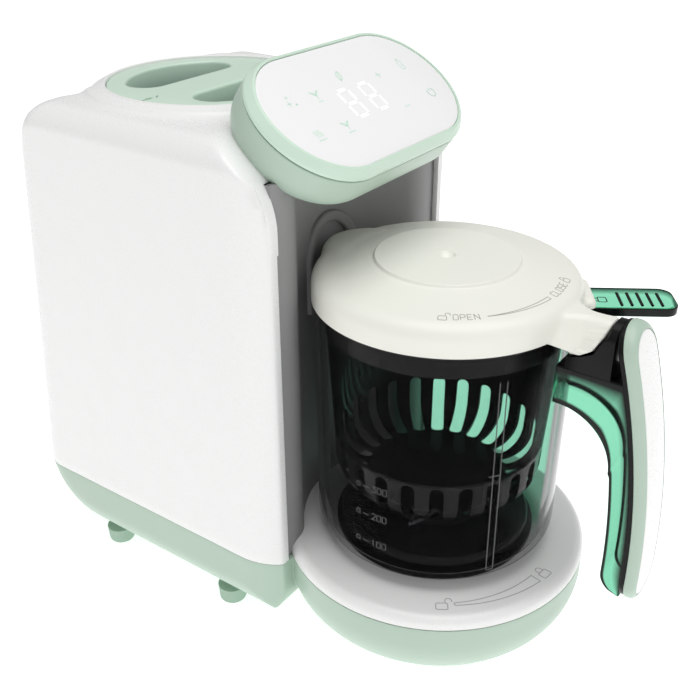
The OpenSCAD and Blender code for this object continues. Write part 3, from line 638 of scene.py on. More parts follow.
MINT_LINE = srgb(188, 226, 203)
FINISH: dict[Slot, Finish] = {
    Slot.MINT: Moulded(srgb(181, 202, 186), 0.34, 0.45, 0.004, 0.03),
    Slot.SOFT: Moulded(srgb(172, 198, 180), 0.7, 0.6, 0.01, 0.05),
    # The pale mint's toned colour is painted shade for the cap's finger wells.
    Slot.PALE: Moulded(srgb(208, 230, 213), 0.30, 0.45, 0.003, 0.03, toned=srgb(142, 162, 150)),
    Slot.WHITE: Moulded(srgb(242, 242, 241), 0.28, 0.5, 0.003, 0.015),
    Slot.CREAM: Moulded(srgb(240, 240, 231), 0.38, 0.35, 0.006, 0.02),
    Slot.GREY: Moulded(srgb(150, 150, 150), 0.55, 0.7, 0.03, 0.06),
    Slot.PANEL: Moulded(srgb(246, 246, 246), 0.12, 0.8, 0.001, 0.01, 0.4),
    Slot.BLACK: Moulded(srgb(20, 20, 20), 0.24, 2.0, 0.001, 0.2, shine=0.15),
    Slot.CLEAR: Clear((0.93, 0.93, 0.93), (0.52, 0.80, 0.68), srgb(52, 54, 53), 0.02, 1.0, 7.0, 0.5, 0.75),
    Slot.SMOKE: Clear((0.45, 0.74, 0.61), None, srgb(14, 15, 15), 0.0, 0.35, 4.0),
    Slot.TANK: Moulded(srgb(215, 224, 224), 0.45, 0.8, 0.004, 0.05),
    Slot.RUBBER: Moulded(srgb(44, 44, 46), 0.75, 0.6, 0.02, 0.2),
    Slot.STEEL: Metal((0.60, 0.61, 0.63), 0.28),
    Slot.BRONZE: Metal((0.55, 0.40, 0.16), 0.3),
    Slot.BOARD: Board((0.01, 0.08, 0.035), (0.03, 0.18, 0.07)),
}


# Pieces


@dataclass
class Piece:
    """One finished mesh: what it rides on, what it stands for and how it is finished.

    Attributes:
        name: Name of the piece.
        body: Body that it rides on.
        slot: Slot of the record that its finish comes from.
        replaces: CAD nodes that it stands for.
        finish: Finish other than the slot's own.
        wall: Thickness given inwards, in millimetres.
        bevel: Width of a bevel on its sharp edges, in millimetres.
        crease: Angle in degrees past which an edge shades sharp.
    """

    name: str
    body: Body
    slot: Slot
    replaces: tuple[str, ...] = ()
    finish: Optional[Finish] = None
    wall: float = 0.0
    bevel: float = 0.0
    crease: float = 36.0

    def make(self, *sheets: Sheet) -> bpy.types.Object:
        """Builds the mesh, finishes it and ties it to the frame.

        Args:
            sheets: Grids in millimetres, welded where they meet.

        Returns:
            The finished object.
        """
        thing = bpy.data.objects.new(self.name, self._mesh(sheets))
        bpy.context.scene.collection.objects.link(thing)
        if self.wall:
            shell = thing.modifiers.new("wall", "SOLIDIFY")
            shell.thickness = self.wall * MM
            shell.offset = -1.0
            shell.use_even_offset = True
        if self.bevel:
            edge = thing.modifiers.new("edge", "BEVEL")
            edge.width = self.bevel * MM
            edge.segments = 2
            edge.angle_limit = math.radians(40)
        if thing.modifiers:
            self._settle(thing)
        thing.data.shade_smooth()
        thing.data.set_sharp_from_angle(angle=math.radians(self.crease))
        own = self.finish is not None
        name = f"{self.slot.value}_{self.name}" if own else self.slot.value
        thing.data.materials.append((self.finish or FINISH[self.slot]).material(name))
        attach(thing, self.body.value)
        if self.replaces:
            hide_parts(*self.replaces)
        LOG.info("%s: %d faces on %s", self.name, len(thing.data.polygons), self.body.value)
        return thing

    def _mesh(self, sheets: Sequence[Sheet]) -> bpy.types.Mesh:
        """Puts the sheets into one mesh, merges doubles and turns the faces outwards."""
        counts = [sheet.points.shape[0] * sheet.points.shape[1] for sheet in sheets]
        starts = np.cumsum([0] + counts[:-1])
        points = np.concatenate([sheet.points.reshape(-1, 3) for sheet in sheets]) * MM
        points[:, 1] += JUG_Y
        faces = np.concatenate([sheet.faces() + start for sheet, start in zip(sheets, starts)])
        mesh = bpy.data.meshes.new(self.name)
        mesh.from_pydata(points, [], faces.tolist())
        if any(sheet.tone is not None for sheet in sheets):
            tones = [np.zeros(n) if s.tone is None else s.tone.reshape(-1) for s, n in zip(sheets, counts)]
            mesh.attributes.new("tone", "FLOAT", "POINT").data.foreach_set("value", np.concatenate(tones))
        work = bmesh.new()
        work.from_mesh(mesh)
        bmesh.ops.remove_doubles(work, verts=work.verts, dist=WELD)
        bmesh.ops.recalc_face_normals(work, faces=work.faces)
        work.to_mesh(mesh)
        work.free()
        return mesh

    @staticmethod
    def _settle(thing: bpy.types.Object) -> None:
        """Applies the modifiers, so that sharp edges are found on the final mesh."""
        graph = bpy.context.evaluated_depsgraph_get()
        raw = thing.data
        thing.data = bpy.data.meshes.new_from_object(thing.evaluated_get(graph), depsgraph=graph)
        thing.modifiers.clear()
        bpy.data.meshes.remove(raw)
        thing.data.name = thing.name


# Marks drawn as thin raised strips

GLYPHS: dict[str, list[list[tuple[float, float]]]] = {
    "O": [[(0.1, 0), (0.5, 0), (0.6, 0.15), (0.6, 0.85), (0.5, 1), (0.1, 1), (0, 0.85), (0, 0.15), (0.1, 0)]],
    "P": [[(0, 0), (0, 1), (0.5, 1), (0.6, 0.88), (0.6, 0.6), (0.5, 0.48), (0, 0.48)]],
    "E": [[(0.58, 0), (0, 0), (0, 1), (0.58, 1)], [(0, 0.5), (0.48, 0.5)]],
    "N": [[(0, 0), (0, 1), (0.6, 0), (0.6, 1)]],
    "C": [[(0.6, 0.15), (0.5, 0), (0.1, 0), (0, 0.15), (0, 0.85), (0.1, 1), (0.5, 1), (0.6, 0.85)]],
    "L": [[(0, 1), (0, 0), (0.55, 0)]],
    "S": [[(0, 0.1), (0.1, 0), (0.5, 0), (0.6, 0.12), (0.6, 0.4), (0.5, 0.5), (0.1, 0.5), (0, 0.6),
           (0, 0.88), (0.1, 1), (0.5, 1), (0.6, 0.9)]],
    "1": [[(0.1, 0.8), (0.3, 1), (0.3, 0)]],
    "2": [[(0, 0.85), (0.12, 1), (0.48, 1), (0.6, 0.85), (0.6, 0.62), (0, 0), (0.6, 0)]],
    "3": [[(0, 1), (0.6, 1), (0.28, 0.58), (0.5, 0.5), (0.6, 0.38), (0.6, 0.15), (0.48, 0), (0, 0)]],
}
GLYPHS["0"] = GLYPHS["O"]


@dataclass
class Marks:
    """Line drawing on a surface.

    Attributes:
        surface: Takes (n, 2) drawing points in millimetres to (n, 3) points on the surface.
        width: Width of a line in millimetres.
        lift: Unit direction in which the strips stand off the surface.
        strokes: Lines as (n, 2) points.
    """

    surface: Callable[[Array], Array]
    width: float = 0.5
    lift: tuple[float, float, float] = (0.0, 0.0, 1.0)
    strokes: list[Array] = field(default_factory=list)

    def line(self, points: Sequence[Sequence[float]], spot: Sequence[float] = (0.0, 0.0),
             size: float = 1.0, turn: float = 0.0) -> "Marks":
        """Adds a line, scaled by size, turned in degrees and moved to spot."""
        angle = math.radians(turn)
        spin = np.array([[math.cos(angle), math.sin(angle)], [-math.sin(angle), math.cos(angle)]])
        self.strokes.append(np.asarray(points, float) * size @ spin + np.asarray(spot, float))
        return self

    def loop(self, radius: float, spot: Sequence[float], start: float = 0.0, stop: float = 360.0) -> "Marks":
        """Adds a circle or a part of one."""
        return self.line(arc((0, 0), radius, start, stop, 28), spot)

    def word(self, text: str, spot: Sequence[float], height: float, turn: float = 0.0) -> "Marks":
        """Writes a word or a number whose first letter starts at spot."""
        angle = math.radians(turn)
        ahead = np.array([math.cos(angle), math.sin(angle)]) * height * 0.85
        for place, letter in enumerate(text):
            for stroke in GLYPHS[letter]:
                self.line(stroke, np.asarray(spot) + ahead * place, height, turn)
        return self

    def padlock(self, spot: Sequence[float], size: float, is_open: bool, turn: float = 0.0) -> "Marks":
        """Draws a padlock: a rounded case and a bow, which is swung aside when open."""
        case = rounded([(0, -0.5, 0), (0.4, -0.5, 0.12), (0.4, 0.12, 0.12), (-0.4, 0.12, 0.12),
                        (-0.4, -0.5, 0.12), (0, -0.5, 0)], 4)
        shift = 0.5 if is_open else 0.0
        bow = np.concatenate([[(shift - 0.24, 0.12)], arc((shift, 0.34), 0.24, 180, 0, 12),
                              [(shift + 0.24, 0.22 if is_open else 0.12)]])
        return self.line(case, spot, size, turn).line(bow, spot, size, turn)

    def sheets(self, rise: float = 0.06, pace: float = 0.6) -> list[Sheet]:
        """Strips of the line's width along each stroke, laid on the surface.

        Args:
            rise: Height of the strips above the surface.
            pace: Longest step along a line.

        Returns:
            One open sheet a stroke.
        """
        return [self._strip(stroke, rise, pace) for stroke in self.strokes]

    def _strip(self, stroke: Array, rise: float, pace: float) -> Sheet:
        """Offsets a resampled stroke to both sides along its mitred normals."""
        length = lengths(stroke)
        steps = max(2, int(math.ceil(length[-1] / pace)) + 1)
        at = np.unique(np.concatenate([np.linspace(0, length[-1], steps), length]))
        path = sample(stroke, at)
        along = np.diff(path, axis=0)
        along /= np.linalg.norm(along, axis=1, keepdims=True)
        before = np.concatenate([along[:1], along])
        after = np.concatenate([along, along[-1:]])
        closed = np.allclose(path[0], path[-1])
        if closed:
            before[0], after[-1] = along[-1], along[0]
        lean = before + after
        lean /= np.maximum(np.linalg.norm(lean, axis=1, keepdims=True), 1e-6)
        spread = self.width / 2 / np.maximum((lean * after).sum(axis=1, keepdims=True), 0.5)
        side = np.stack([-lean[:, 1], lean[:, 0]], axis=-1) * spread
        flat = np.stack([path - side, path + side], axis=1)
        points = self.surface(flat.reshape(-1, 2)) + np.array(self.lift) * rise
        return Sheet(points.reshape(*flat.shape[:2], 3), wrap_cols=False)


# Column


@dataclass
class Column:
    """White column with a leaning back, a collar round the tank's cap and a grey front.

    Attributes:
        front_corner: Radius of the upright front corners.
        corner_set: Distance from the front plane to the centre of those corners.
        back_corner: Radius of the upright back corners.
        lean: How far the back leans forward at the top.
        shoulder: Radius of the shoulder over the front.
        back_shoulder: Radius of the shoulder over the back.
        side_edge: Radius of the long top edges.
        rim: Width of the white rim beside the grey front.
        wall: Wall of the shell.
        collar_low: Depth of the collar's inner wall.
        brow: How far the hollow runs on upwards behind the touch head.
        fillet: Radius between the front and the hollow.
        collar_flare: How far the collar's foot reaches past the cap.
        collar_rise: Height of the collar above the column's top.
        collar_fillet: Width of the fillet at the collar's foot.
        front_blend: Width of the soft edge between the front plane and the sides.
        lip: Width of the collar's lip.
        bore_gap: Clearance round the cap.
        gap: Clearance between the grey front and its neighbours.
        panel_lap: How far the white shell laps over the panel's edge.
        panel_set: How far the grey front is set back.
        panel_wall: Wall of the grey front.
        hole_depth: How far behind the front plane the shell's opening reaches.
        arch_w: Half the width of the outlet's trim.
        arch_near: Distance of the trim's face from the jug's axis.
        arch_far: Distance of its back.
    """

    front_corner: float = 31.0
    corner_set: float = 20.0
    back_corner: float = 20.0
    lean: float = 16.0
    shoulder: float = 36.0
    back_shoulder: float = 42.0
    side_edge: float = 12.0
    rim: float = 4.2
    wall: float = 2.6
    collar_low: float = 16.0
    brow: float = 23.0
    fillet: float = 18.0
    collar_flare: float = 6.8
    collar_rise: float = 2.6
    collar_fillet: float = 9.0
    front_blend: float = 1.4
    lip: float = 1.2
    bore_gap: float = 0.4
    gap: float = 0.2
    panel_lap: float = 2.0
    panel_set: float = 1.5
    panel_wall: float = 2.0
    hole_depth: float = 9.0
    arch_w: float = 2.6
    arch_near: float = 63.35
    arch_far: float = 67.0

    def __post_init__(self) -> None:
        """Takes the overall sizes from the frame."""
        low, high = span("body_shell")
        panel_low, panel_high = span("front_panel")
        cap_low, cap_high = span("tank_cap")
        self.half, self.back = high[0], high[1]
        self.front, self.seam = low[1], low[2]
        self.collar_top = high[2]
        self.cap_y = (cap_low[1] + cap_high[1]) / 2
        self.cap_r = cap_high[0]
        self.collar_r = self.cap_r + self.collar_flare
        self.bore_r = self.cap_r + self.bore_gap
        self.lip_r = self.bore_r + self.lip
        self.top = self.collar_top - self.collar_rise
        self.panel_top = panel_high[2] + self.brow
        self.panel_low = panel_low[2]
        self.open_half = panel_high[0] - self.panel_lap

    def solid(self, spot: Array) -> Array:
        """Field of the column.

        The plan is a box with rounded corners, the back ones on a leaning plane. It meets the
        top plane in a rounded edge whose radius grows from the sides to the back. The front
        plane cuts it with its own shoulder, and a low cone round the cap joins it with a fillet.

        Args:
            spot: Points, (..., 3).

        Returns:
            Distance, negative inside.
        """
        x, y, z = spot[..., 0], spot[..., 1], spot[..., 2]
        slope = self.lean / (self.top - self.back_shoulder - self.seam)
        behind = (y - self.back + slope * (z - self.seam)) / math.hypot(1, slope)
        beside = np.abs(x) - self.half
        nose = self.front + self.corner_set - self.front_corner
        plan = np.maximum(corner_field(beside, nose - y, self.front_corner),
                          corner_field(beside, behind, self.back_corner))
        growth = ease(behind - beside, -self.back_corner, self.back_corner)
        edge = self.side_edge + (self.back_shoulder - self.side_edge) * growth
        body = corner_field(plan, z - self.top, edge)
        body = meet(body, corner_field(self.front - y, z - self.top, self.shoulder), self.front_blend)
        flare = (self.collar_r - self.lip_r) / (self.collar_top - self.top)
        away = np.hypot(x, y - self.cap_y)
        cone = (away - self.lip_r - flare * (self.collar_top - z)) / math.hypot(1, flare)
        collar = np.maximum(np.maximum(cone, z - self.collar_top), away - self.collar_r)
        return join(body, collar, self.collar_fillet)

    def columns(self) -> Array:
        """Level rays from the cap's axis, close together at the rim and at the corners."""
        reach = self.cap_y - self.front
        opening = math.degrees(math.atan2(self.open_half, reach))
        crease = math.degrees(math.atan2(self.open_half + self.rim, reach))
        return level_rays(graded(
            (0, opening, 20), (opening, crease - 0.25, 5), (crease - 0.25, crease + 0.25, 4),
            (crease + 0.25, 50, 24), (50, 112, 30), (112, 180, 40)))

    def shell(self) -> bpy.types.Object:
        """White shell: level rays up to the hollow's top, then a fan of rays to the collar, then the bore."""
        flat = self.columns()
        heart = np.array([0.0, self.cap_y, self.panel_top])
        level = np.concatenate([[self.seam + 0.15], np.linspace(self.seam + 6, self.panel_top, 24)])
        steepest = (self.collar_top - 0.3 - self.panel_top) / (self.lip_r + 0.5)
        outer = skin(heart, level, np.linspace(0, steepest, 72)[1:], flat, self.solid)
        lip = rounded([
            (self.lip_r + 0.2, self.collar_top - 0.1, 0), (self.lip_r, self.collar_top, 0),
            (self.bore_r, self.collar_top, 0.5), (self.bore_r, self.collar_top - self.collar_low, 0)], 4)
        bore = raised(lip[:, None, :1] * flat[:, :2] + heart[:2], lip[:, 1:])
        points = np.concatenate([outer, bore])
        middle = (points[:-1] + points[1:]) / 2
        middle = (middle + np.roll(middle, -1, axis=1)) / 2
        hole = (np.abs(middle[..., 0]) < self.open_half) & (middle[..., 2] < self.panel_top)
        hole &= middle[..., 1] < self.front + self.hole_depth
        piece = Piece("column_shell", Body.BASE, Slot.WHITE, ("body_shell",), wall=self.wall, bevel=0.3)
        return piece.make(Sheet(points, keep=~hole))

    def face(self) -> None:
        """Grey front: a fillet and the hollow's arc on each side, carried upwards, and a roof over them."""
        bay = span("base_deck")[1][1] + self.gap
        face_y = self.front + self.panel_set
        edge = self.open_half - self.gap
        fillet, centre_y = self.fillet, face_y + self.fillet
        centre = (math.sqrt((bay + fillet) ** 2 - centre_y ** 2), centre_y)
        lean = math.degrees(math.atan2(centre[1], centre[0]))
        first = 360 - math.degrees(math.acos((edge - 0.4 - centre[0]) / fillet))
        right = np.concatenate([
            [(edge, face_y + 10.0), (edge, face_y + 1.2)],
            arc(centre, fillet, first, 180 + lean, 14), arc((0, 0), bay, lean, 90, 28)[1:]])
        plan = np.concatenate([right, right[-2::-1] * (-1, 1)])
        wall = carried(plan, np.linspace(self.panel_low, self.panel_top - self.gap, 40))
        piece = Piece("front_face", Body.BASE, Slot.GREY, ("front_panel",), wall=self.panel_wall)
        piece.make(Sheet(wall, wrap_cols=False))
        roof = np.stack([wall[-1], wall[-1]])[:, 6:-6]
        roof[1, :, 1] = face_y - 0.5
        roof[..., 2] = self.panel_top - 0.3
        Piece("bay_roof", Body.BASE, Slot.GREY, wall=1.5).make(Sheet(roof, wrap_cols=False))

    def rims(self) -> None:
        """White rims beside the hollow where it runs up behind the head: rays from inside to the front."""
        beside = np.linspace(self.open_half + 5.0, self.open_half - 0.5, 8)
        height = np.linspace(self.panel_top - self.brow - 6.0, self.panel_top + 2.0, 28)
        proud = np.array([0.0, 0.25, 0.0])
        for name, across in (("right", beside), ("left", -beside[::-1])):
            start = carried(np.stack([across, np.full(len(across), self.cap_y)], axis=-1), height)
            rim = cast(start, np.array([0.0, -1.0, 0.0]), self.solid, FAR) - proud
            Piece(f"front_rim_{name}", Body.BASE, Slot.WHITE, wall=1.2).make(Sheet(rim, wrap_cols=False))

    def outlet(self) -> bpy.types.Object:
        """Arched trim of the steam outlet: a rounded bar carried up, over and down on the hollow's wall."""
        low, high = span("steam_outlet")
        half, turn_z = high[0] - 1.0, high[2] - high[0]
        w, near, far = self.arch_w, self.arch_near, self.arch_far
        bar = rounded([
            (0, far, 0), (w, far, 0), (w, near, 1.2), (-w, near, 1.2), (-w, far, 0), (0, far, 0)], 5)[:-1]
        path = np.concatenate([[(half, low[2])], arc((0, turn_z), half, 0, 180, 36), [(-half, low[2])]])
        side = np.concatenate([[(1, 0)], arc((0, 0), 1, 0, 180, 36), [(-1, 0)]])
        spread = path[:, None] + side[:, None] * bar[None, :, :1]
        angle = spread[..., 0] / near
        plan = bar[None, :, 1:] * np.stack([np.sin(angle), np.cos(angle)], axis=-1)
        return Piece("outlet_arch", Body.BASE, Slot.GREY).make(Sheet(raised(plan, spread[..., 1])))

    def build(self) -> None:
        """Makes the column's pieces."""
        self.shell()
        self.face()
        self.rims()
        self.outlet()


# Base


@dataclass
class Base:
    """Mint tray with a round front, white deck and feet.

    Attributes:
        column: The column that stands on it.
        bowl: Radius of the round front's lower edge.
        side_edge: Radius of the long lower edges.
        back_edge: Radius of the lower edge at the back.
        corner_gain: How much the back corners' radius grows down to the floor.
        front_edge: Radius of the lower edge at the front of the column.
        wall: Wall of the tray.
        seam: Half the dark joint under the white shells.
        heart_y: Place inside both halves from which the tray's rays start.
        foot_r: Radius of a foot.
        foot_y: Place of the feet under the column's front.
        foot_x: Half the distance between the feet under the round front.
        mark_r: Radius on which the deck's marks lie.
        mark_turn: Direction of the closed padlock.
    """

    column: Column
    bowl: float = 30.0
    side_edge: float = 12.0
    back_edge: float = 40.0
    corner_gain: float = 8.0
    front_edge: float = 24.0
    wall: float = 2.6
    seam: float = 0.15
    heart_y: float = 58.0
    foot_r: float = 7.5
    foot_y: float = 84.5
    foot_x: float = 30.0
    mark_r: float = 64.0
    mark_turn: float = -97.0

    def __post_init__(self) -> None:
        """Takes the overall sizes from the frame."""
        self.low = span("base_tray")[0][2]
        self.top = span("base_tray")[1][2]
        self.disc_r = span("base_deck")[1][0]
        self.deck_z = span("base_deck")[1][2]

    def solid(self, spot: Array) -> Array:
        """Field of the tray: the column's plan with rounded lower edges, joined with the round front.

        Args:
            spot: Points, (..., 3).

        Returns:
            Distance, negative inside.
        """
        c = self.column
        x, y, z = spot[..., 0], spot[..., 1], spot[..., 2]
        nose = c.front + c.corner_set - c.front_corner
        beside, behind = np.abs(x) - c.half, corner_field(y - c.back, self.low - z, self.back_edge)
        corner = c.back_corner + self.corner_gain * np.clip((c.seam - z) / (c.seam - self.low), 0, 1)
        plan = np.maximum(corner_field(beside, nose - y, c.front_corner),
                          corner_field(beside, behind, corner))
        body = corner_field(plan, self.low - z, self.side_edge)
        body = meet(body, corner_field(c.front - y, self.low - z, self.front_edge), 1.2)
        disc = corner_field(np.hypot(x, y) - self.disc_r, self.low - z, self.bowl)
        return join(body, disc, 1.0)

    def tray(self) -> bpy.types.Object:
        """Mint tray: level rays from a point inside both halves, then a fan of rays down to the floor."""
        c = self.column
        heart = np.array([0.0, self.heart_y, self.top - 8])
        notch = math.degrees(math.atan2(c.open_half - 3.3, heart[1] - c.front))
        crease = math.degrees(math.atan2(c.open_half + c.rim, heart[1] - c.front))
        flat = level_rays(graded((0, notch - 1, 60), (notch - 1, crease + 1, 24), (crease + 1, 100, 20),
                                 (100, 150, 24), (150, 180, 26)))
        level = np.linspace(self.top - self.seam, heart[2], 5)
        slope = np.concatenate([np.linspace(0, 0.62, 44)[1:], np.geomspace(0.66, 30.0, 14)])
        points = skin(heart, level, -slope, flat, self.solid)
        floor = np.broadcast_to(np.array([*heart[:2], self.low]), (1, len(flat), 3))
        piece = Piece("mint_tray", Body.BASE, Slot.MINT, ("base_tray",), wall=self.wall, bevel=0.3)
        return piece.make(Sheet(np.concatenate([points, floor])))

    def deck(self) -> bpy.types.Object:
        """White deck: a ring of rounded section, thin inside its deeper outer rim."""
        low, bore, under = self.top + self.seam, 5.5, self.deck_z - 3.0
        profile = rounded([
            (bore, under, 0), (self.disc_r - self.wall, under, 0.5), (self.disc_r - self.wall, low, 0),
            (self.disc_r - 0.3, low, 0.0), (self.disc_r, low + 0.3, 0), (self.disc_r, self.deck_z, 5.0),
            (bore, self.deck_z, 0.6), (bore, under, 0)], 8)
        return Piece("white_deck", Body.BASE, Slot.WHITE, ("base_deck",)).make(ring(profile[:-1], 192))

    def feet(self) -> bpy.types.Object:
        """Six rounded feet under the tray."""
        low, high = span("rubber_feet")
        radius = self.foot_r
        side = high[0] - radius
        spots = [(s * side, y) for s in (-1, 1) for y in (self.foot_y, high[1] - radius)]
        spots += [(s * self.foot_x, low[1] + radius) for s in (-1, 1)]
        top = high[2] + 1.5
        profile = rounded([(0, top, 0), (radius, top, 0), (radius - 0.6, low[2], 2.2), (0, low[2], 0)], 6)
        piece = Piece("feet", Body.BASE, Slot.SOFT, ("rubber_feet",))
        return piece.make(*[Sheet(revolve(profile, 40, spot)) for spot in spots])

    def marks(self) -> bpy.types.Object:
        """Padlocks and a tapered band on the deck, which show how the jug locks."""
        def surface(flat: Array) -> Array:
            """x runs round in millimetres on the marks' radius, y runs inwards."""
            angle = math.radians(self.mark_turn) + flat[:, 0] / self.mark_r
            radius = self.mark_r - flat[:, 1]
            return raised(np.stack([radius * np.cos(angle), radius * np.sin(angle)], axis=-1), self.deck_z)

        arch = self.mark_r * math.pi / 180
        tip = [(-44 * arch, 0.5)]
        upper = np.stack([np.linspace(-43.5, -5, 24) * arch, np.linspace(0.8, 2.6, 24)], axis=-1)
        lower = np.stack([np.linspace(-5, -43.5, 24) * arch, np.linspace(-2.6, -0.8, 24)], axis=-1)
        drawing = Marks(surface, 0.4)
        drawing.line(np.concatenate([tip, upper, lower, tip]))
        drawing.padlock((-49 * arch, 0), 6.5, True).padlock((0, 0), 6.5, False)
        ink = Moulded(srgb(172, 172, 172), 0.5, 0.4, 0.002, 0.05)
        return Piece("deck_marks", Body.BASE, Slot.GREY, finish=ink, wall=0.12).make(*drawing.sheets())

    def build(self) -> None:
        """Makes the base's pieces."""
        self.tray()
        self.deck()
        self.feet()
        self.marks()


# Touch head


@dataclass
class TouchHead:
    """Tilted head: mint shell, pale bezel and white touch panel with a two-digit display.

    Attributes:
        tilt: Tilt of the panel in degrees.
        middle: Middle of the panel.
        half: Half the straight length of the panel.
        panel_r: Radius of the panel's round ends.
        bezel: Width of the bezel.
        groove: Depth of the dark joint under the bezel.
        straight: Depth of the upright part of the shell.
        depth: Depth of the head.
        taper: How much the head draws in underneath.
    """

    tilt: float = 35.7
    middle: tuple[float, float, float] = (0.0, 44.2, 257.3)
    half: float = 29.9
    panel_r: float = 29.8
    bezel: float = 3.7
    groove: float = 4.7
    straight: float = 13.0
    depth: float = 24.0
    taper: float = 8.0

    def tilted(self, local: Array) -> Array:
        """Turns local points, with z square to the panel, by the tilt and moves them to the middle."""
        angle = math.radians(self.tilt)
        y = local[..., 1] * math.cos(angle) - local[..., 2] * math.sin(angle)
        z = local[..., 1] * math.sin(angle) + local[..., 2] * math.cos(angle)
        return np.stack([local[..., 0], y, z], axis=-1) + np.array(self.middle)

    def loft(self, profile: Array) -> Sheet:
        """A profile of (radius, depth) carried round the slot outline; a radius of 0 closes on its spine."""
        x, y = stadium(self.half, profile[:, :1], 44)
        return Sheet(self.tilted(np.stack([x, y, np.broadcast_to(profile[:, 1:], x.shape)], axis=-1)))

    def build(self) -> None:
        """Makes the head's pieces."""
        outer = self.panel_r + self.bezel
        under = arc((0, 0), 1.0, 0, -90, 18) * (self.taper, self.depth - self.straight)
        under = under + (outer - self.taper, -self.straight)
        shell = np.concatenate([
            [(0, -self.groove - 0.4)],
            rounded([(outer - 1.6, -self.groove - 0.4, 0), (outer, -self.groove - 0.4, 0.7),
                     (outer, -self.straight, 0)], 5),
            under[1:], [(0, -self.depth)]])
        Piece("head_body", Body.BASE, Slot.MINT, ("head_shell",)).make(self.loft(shell))
        inner, under_z = self.panel_r + 0.12, 0.1 - self.groove
        ring_line = rounded([
            (inner, -2.2, 0), (inner, 0.55, 0.3), (inner + 1.1, 0.55, 0.9), (outer, -3.0, 1.4),
            (outer, under_z, 0.4), (outer - 1.6, under_z, 0), (inner - 2.0, under_z, 0),
            (inner - 2.0, -2.2, 0), (inner, -2.2, 0)], 6)
        loop = self.loft(ring_line[:-1])
        loop.wrap_rows = True
        Piece("bezel_ring", Body.BASE, Slot.PALE, ("head_bezel",)).make(loop)
        glass = rounded([(0, 0.0, 0), (self.panel_r, 0.0, 0.5), (self.panel_r, -1.95, 0), (0, -1.95, 0)], 5)
        Piece("touch_panel", Body.BASE, Slot.PANEL, ("control_panel",)).make(self.loft(glass))
        self.icons()
        self.digits()

    def _surface(self, flat: Array) -> Array:
        """Drawing points on the panel's face."""
        return self.tilted(raised(flat, 0.0))

    def _square(self) -> tuple[float, float, float]:
        """Direction square to the panel."""
        angle = math.radians(self.tilt)
        return (0.0, -math.sin(angle), math.cos(angle))

    def icons(self) -> bpy.types.Object:
        """Touch marks round the display: wash, steam, blend, food, more, less, bottle and power."""
        art = Marks(self._surface, 0.36, self._square())
        for spot, size in (((-43.0, 8.0), 1.4), ((-42.0, 11.2), 0.8), ((-39.6, 6.8), 0.7)):
            art.line([(-1, 0), (1, 0)], spot, size).line([(0, -1), (0, 1)], spot, size)
        wave = np.stack([0.5 * np.sin(np.linspace(0, 2 * math.pi, 14)), np.linspace(0, 3.6, 14)], axis=-1)
        for step in (-1.5, 0.0, 1.5):
            art.line(wave, (-42.5 + step, -10.6))
        art.line([(-2.4, 0), (2.4, 0)], (-42.5, -12.0))
        for spot in ((-25.6, 7.6), (-24.2, -10.4)):
            for side in (-1, 1):
                art.line([(0, 0), (side * 1.4, 1.2), (side * 2.6, 2.6), (side * 0.6, 1.6), (0, 0)], spot)
            art.line([(0, 0), (0, -1.6)], spot)
        art.line([(-1.5, 0), (1.5, 0)], (-25.6, 4.6)).line([(-2.4, 0), (2.4, 0)], (-24.2, -13.4))
        leaf = np.concatenate([arc((1.6, 0), 3.0, 122, 238, 12), arc((-1.6, 0), 3.0, -58, 58, 12)])
        for line in (np.concatenate([leaf, leaf[:1]]), [(0, -3.2), (0, 2.6)]):
            art.line(line, (-3.6, 13.4), 1.0, -20)
        art.line([(-1.9, 0), (1.9, 0)], (19.6, 7.8)).line([(0, -1.9), (0, 1.9)], (19.6, 7.8))
        art.line([(-1.9, 0), (1.9, 0)], (19.8, -11.6))
        bottle = rounded([
            (0, -3, 0), (1.4, -3, 0.5), (1.4, 1.2, 0.8), (0.5, 2.0, 0), (0.5, 3.2, 0), (-0.5, 3.2, 0),
            (-0.5, 2.0, 0), (-1.4, 1.2, 0.8), (-1.4, -3, 0.5), (0, -3, 0)], 3)
        art.line(bottle, (39.7, 9.4)).line([(-0.1, -0.8), (1.0, -0.8)], (39.7, 9.4))
        art.loop(2.4, (42.4, -9.6), 125, 415).line([(0, 0.6), (0, 2.8)], (42.4, -9.6))
        ink = Moulded(MINT_LINE, 0.4, 0.4, 0.001, 0.03)
        return Piece("touch_icons", Body.BASE, Slot.MINT, finish=ink, wall=0.1).make(*art.sheets(0.04))

    def digits(self) -> bpy.types.Object:
        """Two seven-part figures, each lit bar a line with a gap at its ends."""
        art = Marks(self._surface, 2.0, self._square())
        wide, tall, gap = 7.4, 7.4, 0.75
        bars = [[(gap, y), (wide - gap, y)] for y in (-tall, 0, tall)]
        bars += [[(x, y + gap), (x, y + tall - gap)] for x in (0, wide) for y in (-tall, 0)]
        for left in (-13.4, 1.4):
            for bar in bars:
                art.line(bar, (left, -1.0))
        lit = Moulded(srgb(255, 255, 255), 0.3, 0.4, 0.001, 0.0)
        return Piece("display_digits", Body.BASE, Slot.PANEL, finish=lit, wall=0.1).make(*art.sheets(0.05))


# Tank cap


